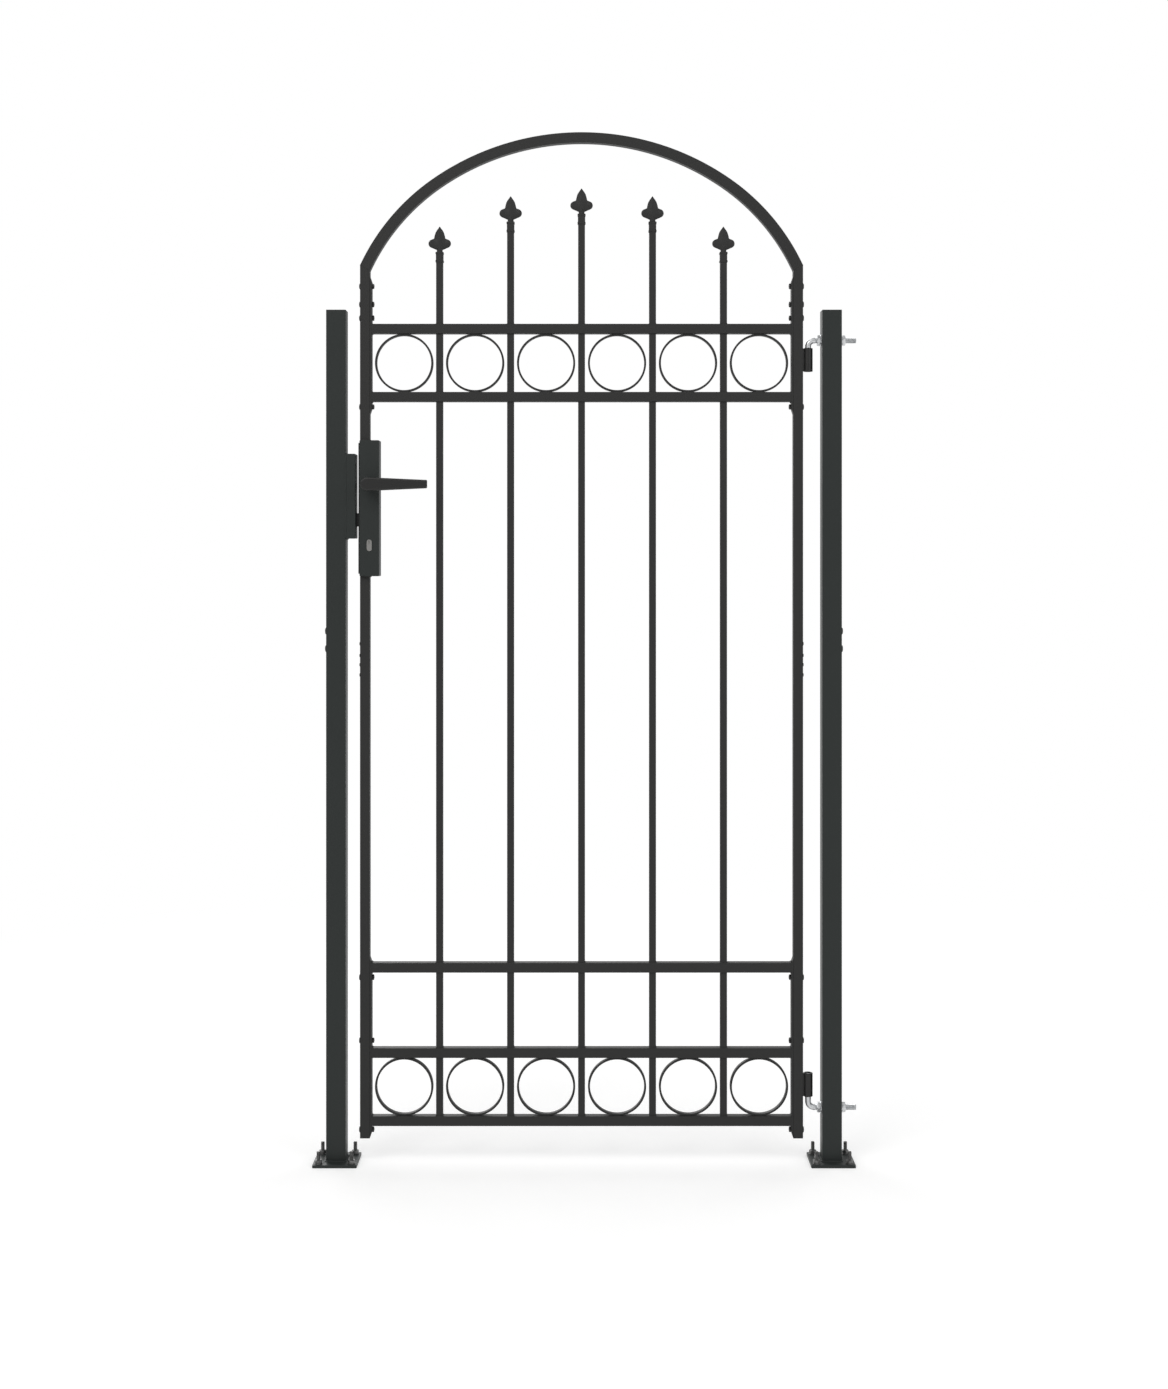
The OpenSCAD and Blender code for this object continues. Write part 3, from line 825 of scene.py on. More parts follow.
def heads_outward(node, centre_x):
    """The box of each solid of a node, and the side of a line to which it looks."""
    return [(box, Vector((1 if middle(box).x > centre_x else -1, 0, 0)))
            for box in solids(node)]


# Operators

class GateOperator:
    """What all the gate's operators share."""
    bl_options = {"REGISTER", "UNDO"}


class GATE_OT_posts(GateOperator, bpy.types.Operator):
    """Build the two square post tubes, with their bolt and pin holes"""
    bl_idname = "gate.posts"
    bl_label = "Posts"

    def execute(self, context):
        sizes = context.scene.gate_tubes
        fixings = context.scene.gate_fixings
        for node in ("latch_post", "hinge_post"):
            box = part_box(node)
            shaft = tube(box, 2, sizes.post_corner, sizes.post_wall)
            x, side = middle(box).x, (-1 if node == "latch_post" else 1)
            cuts = [drill(fixings.post_bolt / 4 + EASE, 0, Vector((x, 0, middle(b).z)),
                          start=0, end=side * THROUGH)
                    for b in solids("post_bolts") if abs(middle(b).x - x) < 2 * THROUGH]
            if node == "hinge_post":
                cuts += [drill(fixings.pin_diameter / 2 + EASE, 0,
                               Vector((x, 0, pin_height(pin)))) for pin in PINS]
            piece(node + "_tube", carved(shaft.mesh(), joined(*cuts)), "posts",
                  "post_paint", node)
        return {"FINISHED"}


def pin_height(pin):
    """Height of the leg of a hinge pin that crosses the post."""
    lo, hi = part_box(pin)
    half = bpy.context.scene.gate_fixings.pin_diameter / 2
    return hi.z - half if pin == "upper_hinge_pin" else lo.z + half


class GATE_OT_caps(GateOperator, bpy.types.Operator):
    """Build the moulded caps of the posts, with their plugs"""
    bl_idname = "gate.caps"
    bl_label = "Post caps"

    def execute(self, context):
        sizes = context.scene.gate_tubes
        shape = Shape()
        tube_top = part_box("hinge_post")[1].z
        for box in solids("post_caps"):
            lo, hi = box
            width, centre = hi.x - lo.x, middle(box)
            plug, lead, corner = width - 2 * sizes.post_wall, 2 * MM, 1.2 * MM
            top, edge = hi.z - sizes.cap_crown, sizes.cap_edge
            stack = [(plug - lead, lead / 2, lo.z), (plug, corner, lo.z + lead),
                     (plug, corner, tube_top), (width, sizes.post_corner, tube_top)]
            for i in range(CORNER_STEPS + 1):
                angle = TURN / 4 * i / CORNER_STEPS
                inset = edge * (1 - math.cos(angle))
                stack.append((width - 2 * inset, sizes.post_corner,
                              top - edge * (1 - math.sin(angle))))
            for part in (0.8, 0.6, 0.4, 0.2, 0.05):
                side = (width - 2 * edge) * part
                stack.append((side, min(sizes.post_corner, side / 2.2),
                              top + sizes.cap_crown * (1 - part ** 2)))
            shape.loft([ring(rounded(w, w, r), 2, centre, z) for w, r, z in stack])
        piece("post_cap_covers", shape, "posts", "cap_plastic", "post_caps")
        return {"FINISHED"}


class GATE_OT_feet(GateOperator, bpy.types.Operator):
    """Build the drilled foot plates"""
    bl_idname = "gate.feet"
    bl_label = "Foot plates"

    def execute(self, context):
        sizes = context.scene.gate_tubes
        slack = 0.5 * MM
        hole = context.scene.gate_fixings.stud_diameter / 2 + slack
        for node in ("latch_foot_plate", "hinge_foot_plate"):
            lo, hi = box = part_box(node)
            drills = [drill(hole, 2, Vector((c.x, c.y, 0)))
                      for c in map(middle, solids("anchor_studs")) if lo.x < c.x < hi.x]
            flat = plate(box, 2, sizes.plate_corner, sizes.cut_edge)
            piece(node + "_steel", carved(flat.mesh(), joined(*drills)), "posts",
                  "post_paint", node)
        return {"FINISHED"}


class GATE_OT_anchors(GateOperator, bpy.types.Operator):
    """Build the threaded anchor studs, with their nuts and washers"""
    bl_idname = "gate.anchors"
    bl_label = "Anchor studs and nuts"

    def execute(self, context):
        fixings = context.scene.gate_fixings
        studs = solids("anchor_studs")
        reach = studs[0][1].z - studs[0][0].z
        rod = threaded_rod(fixings.stud_diameter, fixings.stud_pitch, reach)
        places = [(Vector((middle(b).x, middle(b).y, b[0].z)), UP) for b in studs]
        piece("anchor_threads", copies(rod, places), "posts", "dark_zinc", "anchor_studs")
        nuts = solids("anchor_nuts")
        foot, height = nuts[0][0].z, nuts[0][1].z - nuts[0][0].z
        thin = height - fixings.stud_nut_height
        wide = nuts[0][1].x - nuts[0][0].x
        into_thread, slack = 0.6 * MM, 1.0 * MM
        bore = fixings.stud_diameter - into_thread
        both = joined(washer(wide, bore + slack, 0, thin),
                      nut(fixings.stud_nut, bore, thin, fixings.stud_nut_height))
        places = [(Vector((middle(b).x, middle(b).y, foot)), UP) for b in nuts]
        piece("anchor_nuts_and_washers", copies(both, places), "posts", "dark_zinc",
              "anchor_nuts")
        return {"FINISHED"}


class GATE_OT_post_bolts(GateOperator, bpy.types.Operator):
    """Build the domed bolts in the outer faces of the posts"""
    bl_idname = "gate.post_bolts"
    bl_label = "Post bolts"

    def execute(self, context):
        size = context.scene.gate_fixings.post_bolt
        places = []
        for (lo, hi), way in heads_outward("post_bolts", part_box("arch")[0].x):
            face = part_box("hinge_post" if way.x > 0 else "latch_post")
            x = face[1].x if way.x > 0 else face[0].x
            places.append((Vector((x, 0, (lo.z + hi.z) / 2)), way))
            height = abs((hi.x if way.x > 0 else lo.x) - x)
        head = bolt_head(size, height, shank=size / 2, depth=2.2 * MM, drive="hexagon",
                         grip=4.5 * MM)
        piece("post_bolt_heads", copies(head.mesh(), places), "posts", "black_metal",
              "post_bolts")
        return {"FINISHED"}


class GATE_OT_hinges(GateOperator, bpy.types.Operator):
    """Build the bent hinge pins with their threads, nuts and washers, and the barrels"""
    bl_idname = "gate.hinges"
    bl_label = "Hinges"

    def execute(self, context):
        fixings = context.scene.gate_fixings
        nuts = solids("hinge_pin_nuts")
        bared = 3 * MM
        for pin in PINS:
            self.pin(pin, fixings, min(lo.x for lo, hi in nuts) - bared)
        self.nuts(nuts, fixings)
        for node in BARRELS:
            self.barrel(node, fixings)
        return {"FINISHED"}

    @staticmethod
    def pin(pin, fixings, thread_x):
        """A pin that stands in a barrel, bends and crosses the post as a thread."""
        half, bend, bend_steps = fixings.pin_diameter / 2, fixings.pin_bend, 12
        break_end, run_out = 1.2 * MM, 0.6 * MM
        lo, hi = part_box(pin)
        down = -1 if pin == "upper_hinge_pin" else 1
        axis_x, z = lo.x + half, pin_height(pin)
        foot = lo.z if down < 0 else hi.z
        rows, corner = [], Vector((axis_x + bend, 0, z + down * bend))
        for inset, rise in ((break_end, 0), (0, break_end)):
            rows.append([Vector((axis_x + a, b, foot - down * rise))
                         for a, b in circle(half - inset)])
        for i in range(bend_steps + 1):
            angle = TURN / 4 * i / bend_steps
            out = Vector((-math.cos(angle), 0, -down * math.sin(angle)))
            rows.append([corner + out * (bend - a) + Vector((0, b, 0))
                         for a, b in circle(half)])
        for x, slim in ((thread_x - run_out, half), (thread_x, half - run_out)):
            rows.append([Vector((x, b, z + down * a)) for a, b in circle(slim)])
        rod = threaded_rod(fixings.pin_diameter, fixings.pin_pitch, hi.x - thread_x)
        rod = copies(rod, [(Vector((thread_x, 0, z)), Vector((1, 0, 0)))])
        piece(pin + "_steel", joined(Shape().loft(rows), rod), "posts", "zinc", pin)

    @staticmethod
    def nuts(boxes, fixings):
        """A nut and a washer on each pin at either side of the post."""
        post_lo, post_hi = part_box("hinge_post")
        lo, hi = boxes[-1]
        thin, into_thread, slack = 2.0 * MM, 0.8 * MM, 1.2 * MM
        bore = fixings.pin_diameter - into_thread
        both = joined(washer(hi.z - lo.z, bore + slack, 0, thin),
                      nut(fixings.pin_nut, bore, thin, hi.x - lo.x - thin))
        places = []
        for box in boxes:
            side = 1 if middle(box).x > 0 else -1
            face = post_hi.x if side > 0 else post_lo.x
            places.append((Vector((face, 0, middle(box).z)), Vector((side, 0, 0))))
        piece("hinge_nuts_and_washers", copies(both, places), "posts", "zinc",
              "hinge_pin_nuts")

    @staticmethod
    def barrel(node, fixings):
        """A bored barrel, and the web by which it is welded to the stile."""
        lo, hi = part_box(node)
        radius, edge = (hi.y - lo.y) / 2, 0.8 * MM
        axis_x, hole = hi.x - radius, fixings.pin_diameter / 2 + EASE
        profile = [(hole + edge / 2, lo.z), (radius - edge, lo.z),
                   (radius, lo.z + edge), (radius, hi.z - edge),
                   (radius - edge, hi.z), (hole + edge / 2, hi.z),
                   (hole, hi.z - edge / 2), (hole, lo.z + edge / 2)]
        sleeve = lathe(profile, 2, Vector((axis_x, 0, 0)), HEX_STEPS, loop=True)
        half_web, short, sunk = 5 * MM, 1 * MM, 2 * MM
        web = block((lo.x, -half_web, lo.z + short),
                    (axis_x - radius + sunk, half_web, hi.z - short))
        piece(node + "_steel", joined(sleeve, softened(web.mesh(), edge / 2)), "leaf",
              "black_metal", node)


def mitre_height(x):
    """Height of the mitre plane between stile and arch at a distance along X."""
    arch = bpy.context.scene.gate_arch
    lo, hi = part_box("arch")
    half = (hi.x - lo.x) / 2
    slope = arch.mitre_drop / tube_width()
    return arch.spring - slope * (half - abs(x - (lo.x + hi.x) / 2))


def tube_width():
    lo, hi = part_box("rail_1")
    return hi.z - lo.z


class GATE_OT_stiles(GateOperator, bpy.types.Operator):
    """Build the stiles of the leaf, mitred where they meet the arch"""
    bl_idname = "gate.stiles"
    bl_label = "Stiles"

    def execute(self, context):
        sizes, fixings = context.scene.gate_tubes, context.scene.gate_fixings
        for node in ("latch_stile_lower", "latch_stile_upper", "hinge_stile"):
            lo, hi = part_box(node)
            shaft = tube((lo, hi), 2, sizes.frame_corner, sizes.frame_wall, closed_foot=True)
            if node != "latch_stile_lower":
                for point in shaft.points:
                    if point.z > hi.z - ON_FACE:
                        point.z = mitre_height(point.x)
            drills, beside = [], 5 * MM
            for fixing, shank in (("frame_bolts", fixings.frame_shank),
                                  ("splice_screws", fixings.screw_shank)):
                for box in solids(fixing):
                    at, deep = middle(box), (box[1].x - box[0].x) / 2
                    if lo.x - beside < at.x < hi.x + beside and lo.z < at.z < hi.z:
                        drills.append(drill(shank / 2 + SNUG, 0, at, HOLE_STEPS,
                                            -deep, deep))
            piece(node + "_tube", carved(shaft.mesh(), joined(*drills)) if drills else shaft,
                  "leaf", "leaf_paint", node)
        return {"FINISHED"}


class GATE_OT_arch(GateOperator, bpy.types.Operator):
    """Build the arch, a tube rolled to a three-centred curve"""
    bl_idname = "gate.arch"
    bl_label = "Arch"

    @staticmethod
    def half_curve(radius, top, end_x, end_z, haunch, steps):
        """Points from the crown to the end of half a three-centred curve."""
        n = Vector((math.sin(haunch), math.cos(haunch)))
        d = Vector((end_x, end_z)) - Vector((radius * n.x, top - radius + radius * n.y))
        tight = -d.length_squared / (2 * d.dot(n))
        crown = Vector((0, top - radius))
        centre = crown + (radius - tight) * n
        last = math.atan2(end_x - centre.x, end_z - centre.y)
        points = []
        for i in range(steps + 1):
            a = haunch * i / steps
            points.append(crown + radius * Vector((math.sin(a), math.cos(a))))
        for i in range(1, steps + 1):
            a = haunch + (last - haunch) * i / steps
            points.append(centre + tight * Vector((math.sin(a), math.cos(a))))
        return points

    def execute(self, context):
        sizes, arch = context.scene.gate_tubes, context.scene.gate_arch
        lo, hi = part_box("arch")
        half, mid, thick = (hi.x - lo.x) / 2, (lo.x + hi.x) / 2, hi.y - lo.y
        rise, steps = hi.z - arch.spring, 24
        outer = self.half_curve(arch.crown_radius, rise, half, 0, arch.haunch, steps)
        inner = self.half_curve(arch.crown_inner, rise - arch.crown_depth,
                                half - tube_width(), -arch.mitre_drop, arch.haunch, steps)
        pairs = [(Vector((-a.x, a.y)), Vector((-b.x, b.y))) for a, b in
                 zip(outer[:0:-1], inner[:0:-1])] + list(zip(outer, inner))
        skins = []
        for wall in (0.0, sizes.frame_wall):
            corner = max(sizes.frame_corner - wall, sizes.lip)
            rows = []
            for a, b in pairs:
                across, centre = a - b, (a + b) / 2
                depth = across.length
                across.normalize()
                rows.append([
                    Vector((mid + centre.x + across.x * u, v,
                            arch.spring + centre.y + across.y * u))
                    for u, v in rounded(depth - 2 * wall, thick - 2 * wall, corner)])
            skins.append(rows)
        piece("arch_tube", Shape().loft(skins[0] + skins[1][::-1], loop=True), "leaf",
              "leaf_paint", "arch")
        return {"FINISHED"}


class GATE_OT_rails(GateOperator, bpy.types.Operator):
    """Build the rails, punched where the bars pass through them"""
    bl_idname = "gate.rails"
    bl_label = "Rails"

    def execute(self, context):
        sizes = context.scene.gate_tubes
        over = Vector((SNUG, SNUG, 1 * MM))
        bars = [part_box(f"bar_{i}") for i in NUMBERS]
        for i in NUMBERS:
            lo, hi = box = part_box(f"rail_{i}")
            shaft = tube(box, 0, sizes.frame_corner, sizes.frame_wall)
            if i < NUMBERS[-1]:
                punches = [block(Vector((a.x, a.y, lo.z)) - over,
                                 Vector((b.x, b.y, hi.z)) + over) for a, b in bars]
                shaft = carved(shaft.mesh(), joined(*punches))
            piece(f"rail_{i}_tube", shaft, "leaf", "leaf_paint", f"rail_{i}")
        return {"FINISHED"}


class GATE_OT_bars(GateOperator, bpy.types.Operator):
    """Build the square bars"""
    bl_idname = "gate.bars"
    bl_label = "Bars"

    def execute(self, context):
        sizes = context.scene.gate_tubes
        for i in NUMBERS:
            shaft = tube(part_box(f"bar_{i}"), 2, sizes.bar_corner, sizes.bar_wall)
            piece(f"bar_{i}_tube", shaft, "leaf", "leaf_paint", f"bar_{i}")
        return {"FINISHED"}


class GATE_OT_spears(GateOperator, bpy.types.Operator):
    """Build the cast spear points on their square sockets"""
    bl_idname = "gate.spears"
    bl_label = "Spear points"

    @staticmethod
    def blade():
        """The ridged blade and its two petals in millimetres, tip at the origin."""
        rows = []
        for half, down in ((0.5, 0.0), (1.6, 1.7), (3.6, 4.5), (5.7, 7.3), (7.4, 10.0),
                           (9.0, 13.2), (10.2, 17.0), (11.1, 20.5), (11.8, 24.5),
                           (11.9, 27.0), (11.2, 30.0), (9.0, 36.0), (6.5, 42.0),
                           (5.0, 50.0)):
            ridge = min(4.5, 0.5 + 0.62 * half)
            rows.append([Vector((half * c, ridge * (0.3 * s + math.copysign(
                0.7 * (1 - abs(c)), s)), -down)) * MM for c, s in circle(1.0)])
        shape = Shape().loft(rows)
        for side in (-1, 1):
            shape.loft([
                [Vector((side * out, thick * b, (top + foot + (top - foot) * a) / 2)) * MM
                 for a, b in circle(1.0, ROD_STEPS)]
                for out, top, foot, thick in (
                    (3, -23.4, -49.0, 4.0), (8, -24.0, -47.8, 3.4), (12, -24.8, -45.9, 3.2),
                    (15, -26.0, -44.6, 3.9), (18, -27.2, -43.3, 4.4),
                    (20.5, -28.8, -41.6, 4.2), (22.2, -31.2, -39.2, 3.0),
                    (23, -33.5, -36.9, 1.2))])
        return shape

    def execute(self, context):
        castings = context.scene.gate_castings
        boxes = solids("spear_points")
        foot = boxes[0][0].z - boxes[0][1].z
        neck = lathe([(r * MM, foot + up * MM) for r, up in (
            (6.5, 19), (6.5, 21.5), (5.9, 24), (6.4, 27), (5.0, 30))], 2, ORIGIN)
        head = cast(joined(self.blade(), neck), castings.spear_voxel, passes=4)
        wide, slim = castings.collar, castings.socket
        brim, shoulder, corner = wide - 1.2 * MM, wide - 1.0 * MM, 1.6 * MM
        stack = [(brim, 0.0), (wide, 0.8), (wide, 3.7), (shoulder, 4.4), (slim, 4.7),
                 (slim, 16.3), (shoulder, 16.6), (wide, 17.3), (wide, 20.2), (brim, 21.0)]
        socket = Shape().loft([ring(rounded(side, side, corner), 2, ORIGIN, foot + up * MM)
                               for side, up in stack])
        places = [(Vector((middle(b).x, 0, b[1].z)), UP) for b in boxes]
        piece("spear_heads", copies(joined(head, socket), places, 0.0), "leaf",
              "leaf_paint", "spear_points")
        return {"FINISHED"}


class GATE_OT_rings(GateOperator, bpy.types.Operator):
    """Build the two rows of rings"""
    bl_idname = "gate.rings"
    bl_label = "Rings"

    def execute(self, context):
        castings = context.scene.gate_castings
        for node in RINGS:
            boxes = solids(node)
            lo, hi = boxes[0]
            mesh = ring_maker().run(bpy.data.meshes.new("blank"), {
                "Radius": (hi.x - lo.x) / 2, "Width": hi.y - lo.y,
                "Thickness": castings.ring_strip, "Edge": castings.ring_edge,
                "Count": len(boxes), "Start": middle(boxes[0]),
                "Step": middle(boxes[1]) - middle(boxes[0])})
            piece(node + "_strip", edit(mesh, outward), "leaf", "leaf_paint", node)
        return {"FINISHED"}


class GATE_OT_straps(GateOperator, bpy.types.Operator):
    """Build the flat straps that carry the rails, with their bolts and the splice screws"""
    bl_idname = "gate.straps"
    bl_label = "Straps, bolts and screws"

    def execute(self, context):
        sizes, fixings = context.scene.gate_tubes, context.scene.gate_fixings
        mid = middle(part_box("arch")).x
        taper, parts = sizes.strap_taper, []
        for lo, hi in solids("frame_straps"):
            near, far = (lo.x, hi.x) if lo.x < mid else (hi.x, lo.x)
            outline = [(near, lo.z), (far, lo.z + taper), (far, hi.z - taper), (near, hi.z)]
            rows = [[Vector((x, y, z)) for x, z in outline] for y in (lo.y, hi.y)]
            parts.append(softened(Shape().loft(rows).mesh(), sizes.cut_edge, 2))
        deep = 20 * MM
        drills = [drill(fixings.frame_shank / 2 + SNUG, 0, middle(box), HOLE_STEPS,
                        -deep, deep) for box in solids("frame_bolts")]
        piece("strap_flats", carved(joined(*parts), joined(*drills)), "leaf",
              "leaf_paint", "frame_straps")
        through = 24 * MM
        frame_bolt = joined(
            bolt_head(fixings.frame_bolt, height=2.5 * MM, shank=fixings.frame_shank,
                      depth=1.4 * MM, drive="hexagon", grip=through),
            *self.tail(fixings, through))
        screw = bolt_head(fixings.screw_head, height=2 * MM, shank=fixings.screw_shank,
                          depth=1.2 * MM, drive="cross", grip=12 * MM)
        left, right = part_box("latch_stile_lower")[0].x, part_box("hinge_stile")[1].x
        for node, mesh, name in (("frame_bolts", frame_bolt, "frame_bolts_and_nuts"),
                                 ("splice_screws", screw.mesh(), "splice_screw_heads")):
            places = [(Vector((right if way.x > 0 else left, 0, middle(box).z)), way)
                      for box, way in heads_outward(node, mid)]
            piece(name, copies(mesh, places), "leaf", "black_metal", node)
        return {"FINISHED"}

    @staticmethod
    def tail(fixings, through):
        """The nut on the inner side of a frame bolt, and the thread's end past it."""
        half, height = fixings.frame_shank / 2, fixings.frame_nut_height
        into_thread = past = 0.6 * MM
        shape = nut(fixings.frame_nut, fixings.frame_shank - into_thread, 0, height)
        for point in shape.points:
            point.z = -through - point.z
        end = -through - height - past
        stub = [(half - 1.1 * MM, end), (half - 0.4 * MM, end + 0.4 * MM),
                (half - EASE, end + 0.8 * MM), (half - EASE, -through + 0.5 * MM)]
        return shape, lathe(stub, 2, ORIGIN, ROD_STEPS)


class GATE_OT_keep(GateOperator, bpy.types.Operator):
    """Build the folded keep on the latch post, with its slot"""
    bl_idname = "gate.keep"
    bl_label = "Keep"

    def execute(self, context):
        lo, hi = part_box("keep")
        wall = 2 * MM
        slot_lo, slot_hi = bolt_room(clear=2 * MM)
        shell = softened(block(lo, hi).mesh(), width=2.2 * MM, segments=4,
                         pick=lambda e: all(v.co.x > hi.x - ON_FACE for v in e.verts))
        hollow = block((lo.x - wall / 2, lo.y + wall, lo.z + wall),
                       (hi.x - wall, hi.y - wall, hi.z - wall))
        slot = plate((Vector((hi.x - 2 * wall, slot_lo.y, slot_lo.z)),
                      Vector((hi.x + wall, slot_hi.y, slot_hi.z))), 0,
                     corner=1.5 * MM, edge=0.1 * MM)
        piece("keep_box", carved(shell, hollow, slot), "posts", "post_paint", "keep")
        return {"FINISHED"}


def bolt_room(clear):
    """The latch bolt's section, grown by a clearance."""
    lo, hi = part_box("latch_bolt")
    grow = Vector((0, clear, clear))
    return lo - grow, hi + grow


class GATE_OT_lock(GateOperator, bpy.types.Operator):
    """Build the lock case, the forend, the key cylinder and the latch bolt"""
    bl_idname = "gate.lock"
    bl_label = "Lock"

    def execute(self, context):
        room, key = bolt_room(clear=1 * MM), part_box("key_cylinder")
        self.case(context.scene.gate_castings, room, key)
        self.forend(room)
        self.cylinder(*key)
        bolt = block(*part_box("latch_bolt")).mesh()
        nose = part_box("latch_bolt")[0].x
        softened(bolt, width=2.4 * MM, segments=2,
                 pick=lambda e: all(v.co.x < nose + ON_FACE for v in e.verts))
        piece("latch_bolt_steel", softened(bolt, width=0.4 * MM, segments=2), "bolt",
              "black_metal", "latch_bolt")
        return {"FINISHED"}

    @staticmethod
    def case(castings, room, key):
        """The hollow case, open for the necks, the key cylinder and the latch bolt."""
        lo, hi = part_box("lock_case")
        wall, past = 1.5 * MM, 2 * MM
        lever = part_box("front_lever")
        pivot = Vector((middle((lo, hi)).x, 0, middle(lever).z))
        key_lo, key_hi = key
        shell = softened(block(lo, hi).mesh(), width=1.8 * MM, segments=4)
        hollow = block([c + wall for c in lo], [c - wall for c in hi])
        neck = drill(castings.neck / 2 + EASE, 1, pivot)
        grow = Vector((0, past, 0))
        keyhole = plate((key_lo - grow, key_hi + grow), 1, corner=(key_hi.x - key_lo.x) / 2,
                        edge=0.1 * MM)
        slot = block((lo.x - past, room[0].y, room[0].z),
                     (lo.x + 2 * wall, room[1].y, room[1].z))
        piece("lock_case_box", carved(shell, hollow, neck, keyhole, slot), "leaf",
              "post_paint", "lock_case")

    @staticmethod
    def forend(room):
        """The face plate, slotted for the bolt, with a countersunk screw at each end."""
        lo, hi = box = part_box("lock_forend")
        past, from_end = 1 * MM, 11 * MM
        slot = block((lo.x - past, room[0].y, room[0].z),
                     (hi.x + past, room[1].y, room[1].z))
        strip = plate(box, 0, corner=2 * MM, edge=0.4 * MM).mesh()
        screw = (2.0, 2.0), (3.6, 0.2), (3.4, 0.05), (1.4, 0.0), (1.2, 0.8)
        sink = (4.2, -0.5), (4.0, 0.05), (2.1, 2.2)
        screws, sinks = [
            [lathe([(r * MM, at * MM) for r, at in profile], 0, Vector((lo.x, 0, z)),
                   SCREW_STEPS) for z in (lo.z + from_end, hi.z - from_end)]
            for profile in (screw, sink)]
        piece("forend_plate", joined(carved(strip, slot, joined(*sinks)), *screws), "leaf",
              "black_metal", "lock_forend")

    @staticmethod
    def cylinder(lo, hi):
        """The key cylinder, with a groove round its plug and a keyway in each face."""
        width, edge = hi.x - lo.x, 0.5 * MM
        plug, rim, keyway = 4.4 * MM, 4.75 * MM, 4 * MM
        body = plate((lo, hi), 1, width / 2, edge).mesh()
        centre = Vector(((lo.x + hi.x) / 2, 0, hi.z - width / 2))
        cuts = []
        for face, inward in ((lo.y, 1), (hi.y, -1)):
            deep, back = inward * edge, face + inward * keyway
            groove = [(plug, face - deep), (rim, face - deep), (rim, face + deep),
                      (plug, face + deep)]
            cuts.append(lathe(groove, 1, centre, loop=True))
            for half, top, foot in ((0.75, 3.3, -3.3), (1.35, 3.3, 0.9)):
                cuts.append(block(
                    (centre.x - half * MM, min(face - deep, back), centre.z + foot * MM),
                    (centre.x + half * MM, max(face - deep, back), centre.z + top * MM)))
        body = carved(body, *cuts)
        piece("key_cylinder_metal", body, "leaf", "nickel", "key_cylinder")


class GATE_OT_handle(GateOperator, bpy.types.Operator):
    """Build the cast front lever and the turned knob behind it"""
    bl_idname = "gate.handle"
    bl_label = "Handle"

    def execute(self, context):
        castings = context.scene.gate_castings
        self.lever(castings)
        self.knob(castings)
        return {"FINISHED"}

    @staticmethod
    def lever(castings):
        """A flat tapered grip on a round root, with a neck into the case."""
        lo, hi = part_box("front_lever")
        root, thick = hi.z - lo.z, castings.lever_thick
        pivot = Vector((lo.x + root / 2, 0, (lo.z + hi.z) / 2))
        reach, edge, grip_y = hi.x - pivot.x, castings.lever_edge, lo.y + thick / 2
        rows, thinning = [], 1.5 * MM
        for x, shrink in ((-2 * MM, 0), (reach * 0.3, 0), (reach * 0.6, 0),
                          (reach - 1.2 * MM, 0), (reach - 0.4 * MM, 0.3 * MM),
                          (reach, 0.9 * MM)):
            slope = max(x, 0) / reach
            tall = root + (castings.lever_tip - root) * slope
            deep = thick - thinning * slope
            outline = rounded(tall - 2 * shrink, deep - 2 * shrink, edge - shrink * 0.8)
            rows.append([Vector((pivot.x + x, grip_y - thinning / 2 * slope + b,
                                 pivot.z + a)) for a, b in outline])
        grip = Shape().loft(rows)
        hub = []
        for i in range(CORNER_STEPS + 1):
            angle = TURN / 4 * i / CORNER_STEPS
            hub.append((root / 2 - edge * (1 - math.sin(angle)),
                        lo.y + edge * (1 - math.cos(angle))))
        hub += [(r, 2 * grip_y - y) for r, y in reversed(hub)]
        back, stem, fillet = lo.y + thick, castings.neck / 2, 0.6 * MM
        neck = [(stem + fillet, grip_y), (stem + fillet, back + EASE),
                (stem, back + 5 * fillet), (stem, hi.y)]
        volumes = joined(grip, lathe(hub, 1, pivot, FINE_STEPS),
                         lathe(neck, 1, pivot, FINE_STEPS))
        piece("front_lever_casting", cast(volumes, castings.lever_voxel, passes=5),
              "handle", "black_metal", "front_lever")

    @staticmethod
    def knob(castings):
        """A round neck that flares into a domed grip, with a groove round it."""
        lo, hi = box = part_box("back_knob")
        half = (hi.x - lo.x) / 2
        # shares of the knob's radius, and millimetres from its end
        profile = [(castings.neck / 2, lo.y)] + [(half * r, hi.y - at * MM) for r, at in (
            (0.57, 17.5), (0.62, 15.4), (0.76, 13.2), (0.90, 11.4), (0.97, 9.6), (1.0, 7.4),
            (1.0, 6.6), (0.96, 6.3), (0.96, 5.7), (0.99, 5.4), (0.97, 4.2), (0.89, 2.7),
            (0.74, 1.4), (0.50, 0.5), (0.24, 0.1), (0.06, 0.0))]
        pivot = middle(box) * Vector((1, 0, 1))
        piece("back_knob_turning", lathe(profile, 1, pivot, FINE_STEPS), "handle",
              "black_metal", "back_knob")


